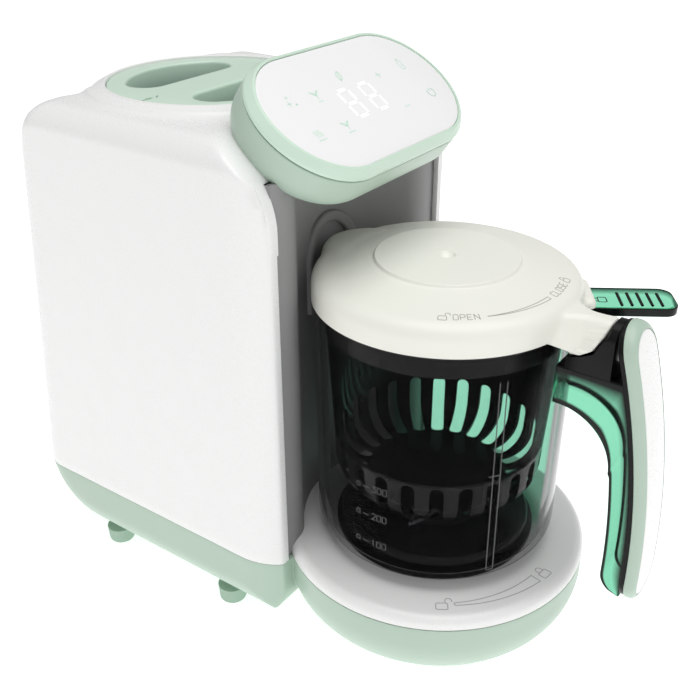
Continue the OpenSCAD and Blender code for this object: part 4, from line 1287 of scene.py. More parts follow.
@dataclass
class TankCap:
    """Round cap with two finger wells, darkened by painted shade, and a grip bar between them.

    Attributes:
        column: The column that it sits in.
        margin: Distance from the cap's edge to a well.
        grip: Half the width of the bar.
        corner: Radius of a well's corners.
        depth: Depth of the wells.
        edge: Radius of the cap's upper edge.
        eye: Distance from the middle to the point about which rim and well line up.
        arc_steps: Points on half the cap's edge.
        line_steps: Points along the bar's middle.
    """

    column: Column
    margin: float = 8.0
    grip: float = 10.5
    corner: float = 11.0
    depth: float = 12.6
    edge: float = 0.9
    eye: float = 24.0
    arc_steps: int = 72
    line_steps: int = 40

    def well(self, shrink: float, count: int) -> Array:
        """Outline of a well, drawn in by shrink, resampled to a count of points.

        It is the part of a disc above a chord. Each corner is an arc that touches the
        chord and the circle, with its centre at |c| = radius - corner, y = chord + corner.

        Args:
            shrink: Distance drawn in.
            count: Number of points.

        Returns:
            Closed loop as (count, 2), from the chord's right end round to its left end and back.
        """
        radius = self.column.cap_r - self.margin - shrink
        chord, corner = self.grip + shrink, self.corner - shrink
        side = math.sqrt((radius - corner) ** 2 - (chord + corner) ** 2)
        lean = math.degrees(math.atan2(chord + corner, side))
        loop = np.concatenate([
            arc((side, chord + corner), corner, -90, lean, 14),
            arc((0, 0), radius, lean, 180 - lean, 60)[1:-1],
            arc((-side, chord + corner), corner, 180 - lean, 270, 14)])
        loop = np.concatenate([loop, loop[:1]])
        return sample(loop, np.linspace(0, lengths(loop)[-1], count, endpoint=False))

    def build(self) -> None:
        """Makes the cap: for each half a grid from the half disc's edge to the well and down to its floor."""
        low, high = span("tank_cap")
        top, radius = high[2], self.column.cap_r
        count = self.arc_steps + self.line_steps
        edge, fine = self.edge, 4 * count
        across = np.linspace(edge - radius, radius - edge, self.line_steps + 1)[:-1]
        rim = np.concatenate([arc((0, 0), radius - edge, 0, 180, self.arc_steps)[:-1],
                              np.stack([across, np.zeros(self.line_steps)], axis=-1)])
        well = self.well(0.0, fine)
        wanted = np.arctan2(rim[:, 1] - self.eye, rim[:, 0])
        ways = np.unwrap(np.arctan2(well[:, 1] - self.eye, well[:, 0]))
        order = np.argsort(ways)
        base = ways[order][0]
        pick = np.interp(np.mod(wanted - base, 2 * math.pi) + base, ways[order], np.arange(fine)[order])
        index = np.round(pick).astype(int) % fine
        deep = self.depth
        rows = [(-1.6, 0.0), (0.0, 0.0), (0.5, -0.15), (0.9, -0.6), (1.05, -1.4), (1.6, 3.2 - deep),
                (2.2, 1.4 - deep), (3.4, 0.4 - deep), (5.0, -deep)]
        grids = [raised(rim, 0.0)]
        grids += [raised(self.well(shrink, fine)[index], sink) for shrink, sink in rows]
        heart = np.array([0.0, (self.grip + radius - self.margin) / 2])
        for share in (0.5, 0.0):
            grids.append(raised(heart + (grids[-1][:, :2] - heart) * share, -deep))
        half = np.stack(grids)
        move = np.array([0.0, self.column.cap_y, top])
        turn = np.array([-1.0, -1.0, 1.0])
        neck, foot = radius - 7.0, low[2] - top
        side = rounded([(radius - edge, 0, 0), (radius, 0, edge), (radius, -3.8, 0.4), (neck, -3.8, 0),
                        (neck, foot, 0.8), (0, foot, 0)], 5)[1:]
        side[0] = (radius - edge, 0)
        hull = Sheet(revolve(side, 2 * self.arc_steps) + move)
        piece = Piece("tank_lid", Body.CAP, Slot.PALE, ("tank_cap",))
        # Painted shade: the wells darken with depth through the tone attribute.
        painted_well_shade = ease(-half[..., 2], 0.4, 0.35 * self.depth)
        piece.make(Sheet(half + move, tone=painted_well_shade), Sheet(half * turn + move, tone=painted_well_shade), hull)
        self.marks(top)

    def marks(self, top: float) -> None:
        """Thumb marks on the bar's ends."""
        thumb = Marks(lambda flat: raised(flat + (0.0, self.column.cap_y), top), 0.8)
        for side in (-1, 1):
            thumb.line(arc((0, 0), 4.2, 215, 325, 14), (side * (self.column.cap_r - 9), 2.0))
        ink = Moulded(srgb(160, 190, 168), 0.4, 0.4, 0.001, 0.03)
        Piece("cap_marks", Body.CAP, Slot.PALE, finish=ink, wall=0.12).make(*thumb.sheets())


# Jug and handle


@dataclass
class Jug:
    """See-through jug with its foot ring, blade base, rib, volume marks and handle.

    Attributes:
        wall: Wall of the jug.
        edge: Radius of its lower edge.
        low_r: Outer radius near the foot.
        bow_r: Radius of the handle's outward bow.
        bow_z: Height at which the bow reaches furthest out.
        cover: Depth of the handle's cover with its lining.
        lining: Depth of the black lining.
        core: Depth of the see-through core behind it.
        inlay: Margin of mint around the white inlay.
        hole_r: Radius of the hole in the jug's floor.
        mint_turn: Direction of the part of the wall that is tinted mint.
        mint_half: Half the angle of that part.
        rib_turn: Direction of the rib, counted from the right.
        scale_turn: Direction of the volume marks.
        hood_clear: Distance from the jug's axis that clears the lid's hood.
        finger: Radius of the finger gap under the arm.
        root_r: Distance of the housing's foot from the jug's axis.
    """

    wall: float = 2.5
    edge: float = 9.0
    low_r: float = 57.5
    bow_r: float = 362.0
    bow_z: float = 74.0
    cover: float = 7.2
    lining: float = 2.2
    core: float = 10.2
    inlay: float = 2.7
    hole_r: float = 40.0
    mint_turn: float = -6.0
    mint_half: float = 62.0
    rib_turn: float = -125.4
    scale_turn: float = 172.0
    hood_clear: float = 82.6
    finger: float = 26.0
    root_r: float = 62.6

    def __post_init__(self) -> None:
        """Takes the overall sizes from the frame."""
        low, high = span("jug")
        self.rim_r, self.low_z, self.rim_z = high[0], low[2], high[2]
        cover_low, cover_high = span("handle_cover")
        inlay_low = span("handle_inlay")[0]
        self.reach = -inlay_low[1]
        self.half_w = cover_high[0]
        self.handle_z = (cover_low[2], cover_high[2] - 2.0)
        core_low, core_high = span("handle_core")
        self.core_half = core_high[0]
        self.hump_top = core_high[2]
        self.arm_z = self.rim_z - 11.0

    def vessel(self) -> bpy.types.Object:
        """Jug: outer wall, rim, inner wall and floor as one closed ring."""
        z, w = self.low_z, self.wall
        profile = rounded([
            (self.hole_r, z, 0), (self.low_r, z, self.edge), (self.rim_r, self.rim_z, 1.1),
            (self.rim_r - w, self.rim_z, 1.1), (self.low_r - w, z + w, self.edge - w),
            (self.hole_r, z + w, 0), (self.hole_r, z, 0)], 10)
        wall = ring(profile[:-1], 192)
        turn = np.degrees(np.arctan2(wall.points[..., 1], wall.points[..., 0]))
        wall.tone = 1 - ease(np.abs(turn - self.mint_turn), self.mint_half - 5, self.mint_half + 5)
        return Piece("jug_wall", Body.JUG, Slot.CLEAR, ("jug",)).make(wall)

    def outside(self, angle: Array, height: Array) -> Array:
        """Points on the jug's outer cone."""
        share = (height - self.low_z) / (self.rim_z - self.low_z)
        radius = self.low_r + (self.rim_r - self.low_r) * share
        return np.stack([radius * np.cos(angle), radius * np.sin(angle), height], axis=-1)

    def rib(self) -> bpy.types.Object:
        """Two upright beads with a short bar between them, drawn on the wall."""
        def surface(flat: Array) -> Array:
            """x runs round the wall, y is the height."""
            lean = 1.3 * (self.rim_z - flat[:, 1]) / (self.rim_z - self.low_z)
            return self.outside(turn + (flat[:, 0] + lean) / self.rim_r, flat[:, 1])

        turn = math.radians(self.rib_turn)
        beads = Marks(surface, 0.4, (math.cos(turn), math.sin(turn), 0.0))
        for side in (-1.7, 1.7):
            beads.line([(side, self.low_z + 8), (side, self.rim_z - 11)])
        beads.line([(-3.6, 117), (1.7, 117)])
        beads.line([(-1.7, self.low_z + 8), (1.7, self.low_z + 8)])
        ink = Moulded(srgb(84, 86, 85), 0.25, 0.5, 0.002, 0.1)
        return Piece("jug_rib", Body.JUG, Slot.CLEAR, finish=ink, wall=0.3).make(*beads.sheets(0.2, 3.0))

    def scale(self) -> bpy.types.Object:
        """Volume marks: a ring, a dash and a number at each level."""
        def surface(flat: Array) -> Array:
            """x runs round the wall, y is the height."""
            return self.outside(math.radians(self.scale_turn) + flat[:, 0] / self.rim_r, flat[:, 1])

        turn = math.radians(self.scale_turn + 12)
        art = Marks(surface, 0.35, (math.cos(turn), math.sin(turn), 0.0))
        for height, number in ((73.5, "100"), (88.5, "200"), (103.5, "300")):
            art.loop(1.1, (1.5, height + 1.4)).line([(4.2, height + 1.4), (7.4, height + 1.4)])
            art.word(number, (9.0, height), 3.2)
        ink = Moulded(srgb(66, 68, 67), 0.4, 0.4, 0.002, 0.05)
        return Piece("volume_marks", Body.JUG, Slot.CLEAR, finish=ink, wall=0.1).make(*art.sheets(0.05))

    def floor(self) -> None:
        """Foot ring on the deck and the black blade base in the jug's floor."""
        low, high = span("jug_foot")
        outer, inner = high[0], self.hole_r - 6
        foot = rounded([(inner, low[2], 0), (outer, low[2], 1.0), (outer, high[2], 0.5), (inner, high[2], 0),
                        (inner, low[2], 0)], 4)
        Piece("foot_ring", Body.SEAT, Slot.BLACK, ("jug_foot",)).make(ring(foot[:-1]))
        low, high = span("blade_base")
        lip, under, top = high[0], self.low_z + self.wall + 0.05, self.low_z + self.wall + 4
        boss, socket, bore, ceiling = 21.0, 18.0, 6.0, high[2] - 2.5
        base = rounded([
            (bore, high[2], 0), (boss, high[2], 2.0), (boss, top, 1.5), (lip, top, 2.6), (lip, under, 0.3),
            (self.hole_r - 0.2, under, 0), (self.hole_r - 0.2, low[2], 0), (socket, low[2], 0),
            (socket, ceiling, 0), (bore, ceiling, 0), (bore, high[2], 0)], 6)
        Piece("blade_seat", Body.JUG, Slot.BLACK, ("blade_base",)).make(ring(base[:-1]))

    def bow(self, depth: Array, height: Array) -> Array:
        """Distance from the jug's axis at a depth behind the handle's outside: an arc of the bow's radius."""
        return self.reach - self.bow_r + np.sqrt((self.bow_r - depth) ** 2 - (height - self.bow_z) ** 2)

    def pill(self, rows: Array) -> Sheet:
        """Loft of the handle's rounded outline: each row is drawn in by its margin and set at its depth.

        Args:
            rows: (margin, depth) of each row. A margin of half the width closes on the spine.

        Returns:
            Grid whose points lie on the bow, held clear of the lid's hood at the top.
        """
        steps = 28
        radius = np.maximum(self.half_w - rows[:, :1], 0)
        angle = np.radians(np.concatenate([np.linspace(0, 180, steps + 1), np.linspace(180, 360, steps + 1)]))
        end = np.repeat([self.handle_z[1] - self.half_w, self.handle_z[0] + self.half_w], steps + 1)
        x, z = radius * np.cos(angle), end + radius * np.sin(angle)
        share = np.linspace(0, 1, 40, endpoint=False)[1:]
        down = z[:, steps, None] + (z[:, steps + 1] - z[:, steps])[:, None] * share
        side = np.broadcast_to(x[:, steps, None], down.shape)
        x = np.concatenate([x[:, :steps + 1], side, x[:, steps + 1:], -side], axis=1)
        z = np.concatenate([z[:, :steps + 1], down, z[:, steps + 1:], down[:, ::-1]], axis=1)
        r = self.bow(rows[:, 1:], z)
        r = np.where(z > self.arm_z, np.maximum(r, self.hood_clear), r)
        return Sheet(np.stack([x, -r, z], axis=-1))

    def handle(self) -> None:
        """Mint cover with a recess, a black lining behind it and the white inlay in it."""
        w, m, mint = self.half_w, self.inlay, self.cover - self.lining
        cover = rounded([
            (w, mint, 0), (0, mint, 0.5), (0, 0.3, 3.0), (m - 0.1, 0.15, 0.2), (m - 0.1, 1.9, 0),
            (w, 1.9, 0)], 7)
        Piece("grip_cover", Body.JUG, Slot.MINT, ("handle_cover",)).make(self.pill(cover))
        lining = rounded([(w, self.cover, 0), (0.5, self.cover, 0.5), (0.5, mint + 0.05, 0),
                          (w, mint + 0.05, 0)], 4)
        Piece("grip_lining", Body.JUG, Slot.BLACK).make(self.pill(lining))
        inlay = rounded([(w, 1.85, 0), (m + 0.12, 1.85, 0), (m + 0.12, 0.12, 0.7), (w, 0.0, 0)], 5)
        Piece("grip_inlay", Body.JUG, Slot.WHITE, ("handle_inlay",)).make(self.pill(inlay))

    def core_piece(self) -> bpy.types.Object:
        """See-through core: a rounded bar between an upper and a lower curve, with dark bands of painted
        shade along its long edges.

        The upper curve runs along the arm and down the cover's back. The lower one runs
        under the arm, round the finger gap, down the inside of the grip and round its end.
        """
        root, low_z = self.rim_r + 0.05, self.handle_z[0] + 1.5
        finger, arm_low, foot = self.finger, self.arm_z - 18.0, 9.0
        centre = (self.rim_r + 2, arm_low - finger)
        back_z = np.linspace(self.arm_z, low_z, 40)
        back = np.stack([self.bow(self.cover + 0.1, back_z), back_z], axis=-1)
        upper = np.concatenate([[(root, self.arm_z)], back])
        inside_z = np.linspace(centre[1], low_z, 48)[1:]
        round_off = foot - np.sqrt(np.maximum(foot ** 2 - np.maximum(low_z + foot - inside_z, 0) ** 2, 0))
        inside = np.stack([self.bow(self.cover + self.core, inside_z) + round_off, inside_z], axis=-1)
        lower = np.concatenate([[(root, arm_low)], arc(centre, finger, 90, 0, 24), inside])
        upper, lower = (sample(curve, np.linspace(0, lengths(curve)[-1], 110)) for curve in (upper, lower))
        side = np.array([(0.96, 0), (1, 0.03), (1, 0.07), (1, 0.12), (1, 0.5), (1, 0.82), (1, 0.88),
                         (1, 0.97), (0.96, 1)])
        section = np.concatenate([side, side[::-1] * (-1, 1)])
        share = section[None, :, 1, None]
        flat = upper[:, None] + (lower - upper)[:, None] * share
        across = np.broadcast_to(section[:, 0] * self.core_half, flat.shape[:2])
        points = np.stack([across, -flat[..., 0], flat[..., 1]], axis=-1)
        middle = np.abs(section[:, 1] - 0.5)
        # Painted shade: dark bands near both long edges stand for the shade in the gap behind the cover; the
        # top is opaque dark too.
        painted_gap_shade = (middle > 0.37) & (middle < 0.48)
        tone = np.clip(painted_gap_shade + ease(points[..., 2], self.arm_z - 9, self.arm_z - 6), 0, 1)
        ends = np.ones((1, points.shape[1]))
        sheet = Sheet(capped(points), tone=np.concatenate([ends, tone, ends]))
        return Piece("grip_core", Body.JUG, Slot.SMOKE, ("handle_core",)).make(sheet)

    def housing(self) -> bpy.types.Object:
        """Black housing on the arm: an outline of radius and height, turned about the jug's axis."""
        back, low = -span("lid_cover")[0][1] + 0.8, self.arm_z - 1
        outline = rounded([
            (self.root_r, low, 0), (self.root_r, low + 5.8, 1.0), (69.4, low + 8.0, 2.0),
            (74.0, low + 10.4, 2.0), (77.3, low + 17.4, 3.0), (79.2, low + 25.0, 0.6),
            (back, low + 25.0, 0.4), (back, low, 0), (self.root_r, low, 0)], 5)[:-1]
        pill, top = self.core_half, self.hump_top + 1.6
        side = np.linspace(-1, 1, 17) * (pill - 0.1)
        radius = outline[:, :1]
        height = np.minimum(outline[:, 1:], top - pill + np.sqrt(pill ** 2 - side ** 2))
        across = np.broadcast_to(side, height.shape)
        grid = np.stack([across, -np.sqrt(radius ** 2 - side ** 2), height], axis=-1)
        piece = Piece("lock_housing", Body.JUG, Slot.BLACK, bevel=0.5)
        return piece.make(Sheet(capped(np.swapaxes(grid, 0, 1))))

    def build(self) -> None:
        """Makes the jug's pieces."""
        self.vessel()
        self.rib()
        self.scale()
        self.floor()
        self.handle()
        self.core_piece()
        self.housing()


# Basket


@dataclass
class Basket:
    """Dark see-through bowl with slots round its lower edge, a black band and a lifting tab.

    Attributes:
        radius: Outer radius above the lower edge.
        edge: Radius of the lower edge.
        wall: Wall of the bowl.
        slots: Number of slots.
        slot_w: Width of a slot.
        slot_h: Height of the slots above the floor.
        band_r: Outer radius of the band.
        band_h: Height of the band.
        clear_turn: Direction that the clear part of the wall faces.
        clear_half: Half the angle of that part.
        tab_turn: Direction of the tab, counted from the right.
        tab_reach: How far the tab reaches from the jug's axis.
        tab_w: Width of the tab.
        tab_root: Distance of the tab's root from the jug's axis.
        rib_first: Distance of the first rib.
        rib_pitch: Distance from rib to rib.
        ribs: Number of ribs across the tab.
    """

    radius: float = 49.0
    edge: float = 15.0
    wall: float = 1.8
    slots: int = 24
    slot_w: float = 6.4
    slot_h: float = 25.0
    band_r: float = 55.3
    band_h: float = 10.0
    clear_turn: float = -150.0
    clear_half: float = 78.0
    tab_turn: float = -57.0
    tab_reach: float = 101.0
    tab_w: float = 21.5
    tab_root: float = 57.0
    rib_first: float = 76.6
    rib_pitch: float = 4.4
    ribs: int = 5

    def __post_init__(self) -> None:
        """Takes the heights from the frame."""
        low, high = span("basket")
        self.low, self.top = low[2], high[2]
        self.rim_z = span("jug")[1][2]
        self.flange_r = span("jug")[1][0] - 0.4

    def bowl(self) -> Sheet:
        """Slotted bowl: rows follow the profile, columns follow the slots' edges.

        In each row a slot's half width is that of a round-ended slot at that distance along
        the profile. Columns inside that width are left out.
        """
        inner, z0 = self.radius - self.edge, self.low
        band_z = self.rim_z - self.band_h
        top_r = self.band_r - 2.0
        line = np.concatenate([
            np.stack([np.linspace(0.0, inner - 1, 14), np.full(14, z0)], axis=-1),
            arc((inner, z0 + self.edge), self.edge, -90, 0, 26),
            np.stack([self.radius + (top_r - self.radius) * np.linspace(0, 1, 34)[1:],
                      z0 + self.edge + (band_z - z0 - self.edge) * np.linspace(0, 1, 34)[1:]], axis=-1)])
        length = lengths(line)
        half = self.slot_w / 2
        first = float(np.interp(inner - 0.5, line[:14, 0], length[:14]))
        last = float(np.interp(z0 + self.slot_h, line[14:, 1], length[14:]))
        ends = np.concatenate([first + half * (1 - np.cos(np.linspace(0, math.pi / 2, 7))),
                               last - half * (1 - np.cos(np.linspace(0, math.pi / 2, 7)))])
        at = np.unique(np.round(np.concatenate([length, ends]), 4))
        off = np.abs(at[:, None] - ends[None]).min(axis=1)
        at = at[(off < 1e-3) | (off > 0.25)]
        line = sample(line, at)
        into = np.clip(np.minimum(at - first, last - at), 0, half)
        width = np.sqrt(np.maximum(half ** 2 - (half - into) ** 2, 0))
        outside = (at < first - 1e-3) | (at > last + 1e-3)
        pitch = 2 * math.pi / self.slots
        around = np.maximum(line[:, 0], 1e-3)
        loose = np.minimum(0.2 * pitch * around, np.minimum(np.abs(at - first), np.abs(at - last)) * 0.6)
        width = np.where(outside, np.minimum(loose, half), width)
        reach = np.minimum(width / around, 0.45 * pitch)[:, None]
        inside = np.linspace(-1, 1, 5)[None] * reach
        rest = reach + np.linspace(0, 1, 8)[None, 1:-1] * (pitch - 2 * reach)
        cell = np.concatenate([inside, rest], axis=1)
        turn = (cell[:, None] + (np.arange(self.slots) * pitch)[None, :, None]).reshape(len(at), -1)
        points = raised(line[:, None, :1] * np.stack([np.cos(turn), np.sin(turn)], axis=-1), line[:, 1:])
        middle = (at[:-1] + at[1:]) / 2
        open_row = (middle > first) & (middle < last)
        open_col = np.tile(np.arange(cell.shape[1]) < 4, self.slots)
        away = np.abs(np.mod(np.degrees(turn) - self.clear_turn + 180, 360) - 180)
        slots_top = z0 + self.slot_h
        dark = ease(away, self.clear_half - 6, self.clear_half + 6)
        dark = dark + ease(-line[:, 1:], -slots_top - 2.2, -slots_top - 1)
        return Sheet(points, keep=~(open_row[:, None] & open_col[None]), tone=np.clip(dark, 0, 1))

    def build(self) -> None:
        """Makes the bowl, its band and its tab."""
        smoke = Clear((0.96, 0.96, 0.96), None, srgb(18, 18, 18), 0.02, 0.4, 3.0, 0.15)
        Piece("steam_bowl", Body.JUG, Slot.SMOKE, ("basket",), finish=smoke, wall=self.wall).make(self.bowl())
        z, r, f = self.rim_z, self.band_r, self.flange_r
        inner = r - 2.0 - self.wall
        band = rounded([
            (inner, z - self.band_h, 0), (r, z - self.band_h, 1.0), (r, z + 0.1, 0.3), (f, z + 0.1, 0.3),
            (f, self.top, 0.5), (inner, self.top, 0.6), (inner, z - self.band_h, 0)], 5)
        Piece("bowl_band", Body.JUG, Slot.BLACK).make(ring(band[:-1], 176))
        self.tab()

    def tab(self) -> None:
        """Tab: a rounded tray with a raised rim, ribs across it and a padlock mark; the rim's side towards
        the handle is opaque dark as painted shade.
        """
        root, half, tall = self.tab_root, self.tab_w / 2, 4.0
        outline = rounded([(root, 0, 0), (root, -half, 0), (self.tab_reach, -half, 6),
                           (self.tab_reach, half, 6), (root, half, 0), (root, 0, 0)], 8)[:-1]
        heart = np.array([(root + self.tab_reach) / 2, 0.0])
        size = np.array([(self.tab_reach - root) / 2, half])
        rows = rounded([(1, -tall, 0), (0, -tall, 0.5), (0, 0, 0.5), (1.3, 0, 0.25), (1.3, -1.0, 0.25),
                        (2.4, -1.0, 0)], 4)
        shrink = 1 - rows[:, :1, None] / size[None, None]
        flat = heart + (outline - heart)[None] * shrink
        grid = raised(flat, rows[:, 1:] + self.top)
        ends = [raised(np.broadcast_to(heart, (1, len(outline), 2)), grid[k, :, 2]) for k in (0, -1)]
        grid = np.concatenate([ends[0], grid, ends[1]])
        # Painted shade: the outer wall on the side towards the handle is opaque dark over its full height;
        # its top edge is opaque dark all round.
        outer = (rows[:, 0] < 0.4) & (rows[:, 1] > -tall + 0.3)
        near = outline[:, 1] < 0.2 * half
        tone = np.zeros(grid.shape[:2])
        tone[1:1 + len(rows)] = outer[:, None] & (near[None] | (rows[:, 1:] > -0.7))
        Piece("lift_tab", Body.JUG, Slot.SMOKE).make(Sheet(self._turned(grid), tone=tone))
        bar = rounded([(0, 0, 0), (0.7, 0, 0.5), (0.7, 0.8, 0.5), (-0.7, 0.8, 0.5), (-0.7, 0, 0.5),
                       (0, 0, 0)], 4)[:-1]
        run = np.array([-0.62, -0.58, 0.58, 0.62])[:, None] * half
        swell = np.array([0.05, 1.0, 1.0, 0.05])[:, None]
        ground = self.top - 1.0
        sheets = []
        for step in range(self.ribs):
            out = self.rib_first + self.rib_pitch * step + bar[:, 0] * swell
            points = np.stack(np.broadcast_arrays(out, run, ground + bar[:, 1] * swell), axis=-1)
            sheets.append(Sheet(self._turned(points)))
        Piece("tab_ribs", Body.JUG, Slot.BLACK).make(*sheets)
        drawing = Marks(lambda flat: self._turned(raised(flat, ground)), 0.45)
        drawing.padlock((68.0, 0.0), 6.0, False, 90)
        Piece("tab_mark", Body.JUG, Slot.BLACK, wall=0.12).make(*drawing.sheets())

    def _turned(self, points: Array) -> Array:
        """Turns points about the jug's axis to the tab's direction."""
        angle = math.radians(self.tab_turn)
        x = points[..., 0] * math.cos(angle) - points[..., 1] * math.sin(angle)
        y = points[..., 0] * math.sin(angle) + points[..., 1] * math.cos(angle)
        return np.stack([x, y, points[..., 2]], axis=-1)


# Lid


@dataclass
class Lid:
    """Cream lid: dome with a raised disc, steam lug, hood over the handle and ear over the tab.

    Attributes:
        tab_turn: Direction of the ear, counted from the right.
        edge: Width of the soft edge between wall and dome.
        fall: How much the dome falls for each millimetre outwards.
        disc_r: Radius of the raised disc.
        step: Height of the step round it.
        thick: Thickness of the lid.
        lug_r: Radius of the steam lug.
        hood_w: Half the width of the hood's top.
        hood_spread: Half the width that the hood gains down to its lower edge.
        hood_flare: Half the width that it gains at the lid.
        radius: Radius of the lid's wall.
        ear_w: Half the width of the ear.
        ear_reach: How far the ear reaches from the jug's axis.
        dimple_r: Radius of the ball that presses the dimple.
        dimple_z: Height of that ball's middle above the disc.
        mark_r: Radius on which the lid's marks lie.
    """

    tab_turn: float
    edge: float = 6.5
    fall: float = 0.19
    disc_r: float = 32.0
    step: float = 1.2
    thick: float = 2.2
    lug_r: float = 19.0
    hood_w: float = 3.6
    hood_spread: float = 7.4
    hood_flare: float = 6.0
    radius: float = 59.6
    ear_w: float = 13.2
    ear_reach: float = 64.5
    dimple_r: float = 4.4
    dimple_z: float = 2.4
    mark_r: float = 51.2

    def __post_init__(self) -> None:
        """Takes the overall sizes from the frame."""
        low, high = span("lid_cover")
        self.top = high[2]
        self.hood_reach = -low[1]
        self.lug_reach = high[1]
        self.low = span("basket")[1][2] + 0.4
        self.hood_low = self.low - 4.2
        self.hood_top = self.low + 0.53 * (self.top - self.low)

    def dome(self, radius: Array) -> Array:
        """Height of the lid's top at a radius: a cone up to the disc, a step and a dimple."""
        cone = self.top - self.step - self.fall * np.maximum(radius - self.disc_r, 0)
        dimple = np.sqrt(np.maximum(self.dimple_r ** 2 - radius ** 2, self.dimple_z ** 2)) - self.dimple_z
        return cone + self.step * (1 - ease(radius, self.disc_r - 0.5, self.disc_r + 0.5)) - dimple

    def hood_end(self, height: Array) -> Array:
        """Distance of the hood's end from the jug's axis at a height."""
        levels = self.hood_low + np.array([0.0, 2.2, 8.2, 14.2, 18.3])
        return np.interp(height, levels, self.hood_reach - np.array([11.7, 8.0, 4.8, 3.0, 0.2]))

    def solid(self, spot: Array) -> Array:
        """Field of the outside: dome, lug, hood and ear, joined with fillets.

        Args:
            spot: Points, (..., 3).

        Returns:
            Distance, negative inside.
        """
        x, y, z = spot[..., 0], spot[..., 1], spot[..., 2]
        away = np.hypot(x, y)
        body = meet(away - self.radius, (z - self.dome(np.maximum(away, self.disc_r + 1))) * 0.98, self.edge)
        lug_y = self.lug_reach - self.lug_r
        lug = corner_field(np.hypot(x, y - lug_y) - self.lug_r, z - (self.top - 4), 5.0)
        end = self.hood_end(z)
        lip = 0.7 * ease(away, end - 3.4, end - 2.4)
        depth = (self.hood_top - z) / (self.hood_top - self.hood_low)
        half = self.hood_w + self.hood_spread * depth + lip
        half = half + self.hood_flare * (1 - ease(away, self.radius - 4, self.radius + 9))
        hood = corner_field((np.abs(x) - half) * 0.94, z - self.hood_top, 2.2)
        hood = meet(hood, (away - end) * 0.85, 1.6)
        hood = np.maximum(hood, 30 + y)
        turn = math.radians(self.tab_turn)
        out = x * math.cos(turn) + y * math.sin(turn)
        side = -x * math.sin(turn) + y * math.cos(turn)
        ear = corner_field(np.abs(side) - self.ear_w, out - self.ear_reach, 4.0)
        ear = corner_field(ear, z - (self.low + 4.0), 3.0)
        ear = np.maximum(ear, 40 - out)
        shape = join(join(body, lug, 3.0), hood, 1.6)
        return join(shape, ear, 3.0)

    def build(self) -> None:
        """Makes the lid: rays from a point on the axis for the outside, rings for the dome."""
        heart = np.array([0.0, 0.0, self.low - 6])
        fine = np.concatenate([np.linspace(-115, -65, 151),
                               np.linspace(self.tab_turn - 17, self.tab_turn + 17, 60)])
        plain = np.linspace(-180, 180, 181)[:-1]
        plain = plain[np.abs(plain[:, None] - fine[None]).min(axis=1) > 0.9]
        turn = np.radians(np.unique(np.round(np.concatenate([plain, fine]), 2)))
        flat = np.stack([np.cos(turn), np.sin(turn), np.zeros_like(turn)], axis=-1)
        hooded = 1 - np.clip((np.abs(np.degrees(turn) + 90) - 9.0) / 7.6, 0, 1)
        floor = np.zeros((len(turn), 3))
        floor[:, 2] = self.low + (self.hood_low - self.low) * hooded
        lowest = cast(floor, flat, self.solid, 140.0)
        first = (lowest[:, 2] - heart[2]) / np.hypot(lowest[:, 0], lowest[:, 1])
        inner, rows = 46.0, 72
        last = (float(self.dome(np.array(inner))) - heart[2]) / inner
        ray = np.broadcast_to(flat, (rows, *flat.shape)).copy()
        ray[..., 2] = first + (last - first) * np.linspace(0, 1, rows)[:, None]
        outer = cast(np.broadcast_to(heart, (rows, 1, 3)), ray, self.solid, 140.0)
        rings = np.concatenate([np.linspace(44, 33.5, 8), [32.9, 32.5, 32.2, 32.0, 31.8, 31.5, 31.1, 30.4],
                                np.linspace(29, 4.6, 14), [4.0, 3.7, 3.2, 2.4, 1.2, 0.0]])
        disc = raised(rings[:, None, None] * flat[:, :2], self.dome(rings)[:, None])
        piece = Piece("cream_cover", Body.LID, Slot.CREAM, ("lid_cover",), wall=self.thick, bevel=0.3)
        piece.make(Sheet(np.concatenate([outer, disc])))
        self.marks()

    def marks(self) -> None:
        """Turning marks near the lid's edge: padlocks, OPEN, an arc and CLOSE."""
        def surface(flat: Array) -> Array:
            """x runs round in millimetres from the front, y runs inwards; rays from below give z."""
            angle = math.radians(-90.0) + flat[:, 0] / self.mark_r
            away = self.mark_r - flat[:, 1]
            start = raised(np.stack([away * np.cos(angle), away * np.sin(angle)], axis=-1), self.low + 2)
            return cast(start, np.array([0.0, 0.0, 1.0]), self.solid, 30.0)

        arch = self.mark_r * math.pi / 180
        art = Marks(surface, 0.3)
        art.padlock((-61.7 * arch, 0.2), 4.2, True).word("OPEN", (-57 * arch, -1.6), 3.3)
        sweep = np.linspace(-41.5, -5.7, 40) * arch
        band = np.concatenate([np.stack([sweep, np.linspace(-0.2, 0.9, 40)], axis=-1),
                               np.stack([sweep[::-1], np.linspace(-0.9, -0.3, 40)], axis=-1)])
        art.line(np.concatenate([band, band[:1]]))
        art.word("CLOSE", (-2.0 * arch, -1.6), 3.3).padlock((17.0 * arch, 0.2), 4.2, False)
        ink = Moulded(srgb(160, 160, 154), 0.45, 0.4, 0.002, 0.05)
        Piece("lid_marks", Body.LID, Slot.CREAM, finish=ink, wall=0.12).make(*art.sheets())


# Inside pieces and studio


class Insides:
    """Pieces that keep their CAD shape and only get a finish."""

    def build(self) -> None:
        """Gives every node that is still shown the finish of its slot."""
        for row in frame["record"]["subparts"]:
            thing = frame["nodes"][row["node"]]
            if thing.hide_render:
                continue
            slot = Slot(row["material_slot"])
            material = FINISH[slot].material(slot.value)
            thing.data.materials.clear()
            thing.data.materials.append(material)
            LOG.info("%s keeps its shape, finished as %s", row["node"], slot.value)


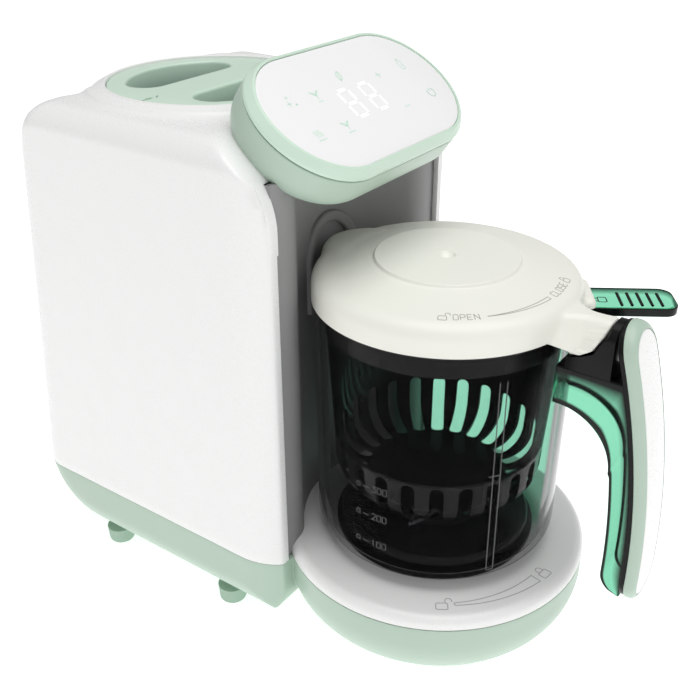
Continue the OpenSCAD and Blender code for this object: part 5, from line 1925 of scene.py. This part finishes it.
@dataclass
class Studio:
    """Pale floor, soft light and the camera.

    Attributes:
        lens: Focal length in millimetres on a 36 mm sensor.
        place: Camera position in metres.
        turn: Camera rotation in degrees.
        floor: Linear colour of the floor.
        glow: Strength of the floor's own light.
        sky: Strength of the even sky.
    """

    lens: float = 49.98
    place: tuple[float, float, float] = (-0.3430, -0.24405, 0.3611)
    turn: tuple[float, float, float] = (61.35, 0.0, -54.73)
    floor: tuple[float, float, float] = (0.95, 0.95, 0.95)
    glow: float = 0.6
    sky: float = 0.34

    def camera(self) -> None:
        """Adds the camera at the photograph's angle."""
        data = bpy.data.cameras.new("view")
        data.lens = self.lens
        data.sensor_width = 36.0
        data.clip_start = 0.01
        camera = bpy.data.objects.new("view", data)
        camera.location = self.place
        camera.rotation_euler = [math.radians(v) for v in self.turn]
        bpy.context.scene.collection.objects.link(camera)
        bpy.context.scene.camera = camera

    def ground(self) -> None:
        """Adds a pale floor that glows a little, so that it stays near white."""
        reach = np.linspace(-4000, 4000, 3)
        x, y = np.meshgrid(reach, reach)
        mesh = bpy.data.meshes.new("floor")
        sheet = Sheet(np.stack([x, y, np.zeros_like(x)], axis=-1), wrap_cols=False)
        mesh.from_pydata(sheet.points.reshape(-1, 3) * MM, [], sheet.faces().tolist())
        ground = bpy.data.objects.new("floor", mesh)
        bpy.context.scene.collection.objects.link(ground)
        shader = Shader("floor")
        shader.feed(shader.plastic, {"Base Color": self.floor, "Roughness": 0.6, "Specular IOR Level": 0.1,
                                     "Emission Color": (1.0, 1.0, 1.0), "Emission Strength": self.glow})
        mesh.materials.append(shader.finish())

    def light(self, name: str, power: float, size: float, place: Sequence[float],
              aim: Sequence[float]) -> None:
        """Adds a square soft light that looks at a point."""
        data = bpy.data.lights.new(name, "AREA")
        data.energy = power
        data.size = size
        lamp = bpy.data.objects.new(name, data)
        lamp.location = place
        way = np.asarray(aim, float) - np.asarray(place, float)
        lean = math.atan2(math.hypot(way[0], way[1]), -way[2])
        lamp.rotation_euler = (lean, 0.0, math.atan2(way[1], way[0]) - math.pi / 2)
        bpy.context.scene.collection.objects.link(lamp)

    def build(self) -> None:
        """Adds the camera, the floor, the lights and an even sky."""
        self.camera()
        self.ground()
        world = bpy.data.worlds.new("sky")
        world.use_nodes = True
        sky = world.node_tree.nodes["Background"]
        sky.inputs["Color"].default_value = (1.0, 1.0, 1.0, 1.0)
        sky.inputs["Strength"].default_value = self.sky
        bpy.context.scene.world = world
        bpy.context.scene.view_settings.view_transform = "Standard"
        self.light("key", 2.0, 1.6, (-1.5, 0.9, 1.5), (0.0, 0.0, 0.15))
        self.light("top", 30.0, 2.0, (-0.1, -0.4, 2.0), (0.0, 0.0, 0.15))
        self.light("fill", 0.8, 1.2, (-0.2, -1.6, 0.9), (0.0, -0.05, 0.15))


def main() -> None:
    """Builds the studio and every sub-assembly."""
    logging.basicConfig(level=logging.INFO, format="%(name)s: %(message)s")
    Studio().build()
    column = Column()
    column.build()
    Base(column).build()
    TouchHead().build()
    TankCap(column).build()
    Jug().build()
    basket = Basket()
    basket.build()
    Lid(basket.tab_turn).build()
    Insides().build()


if __name__ == "__main__":
    main()
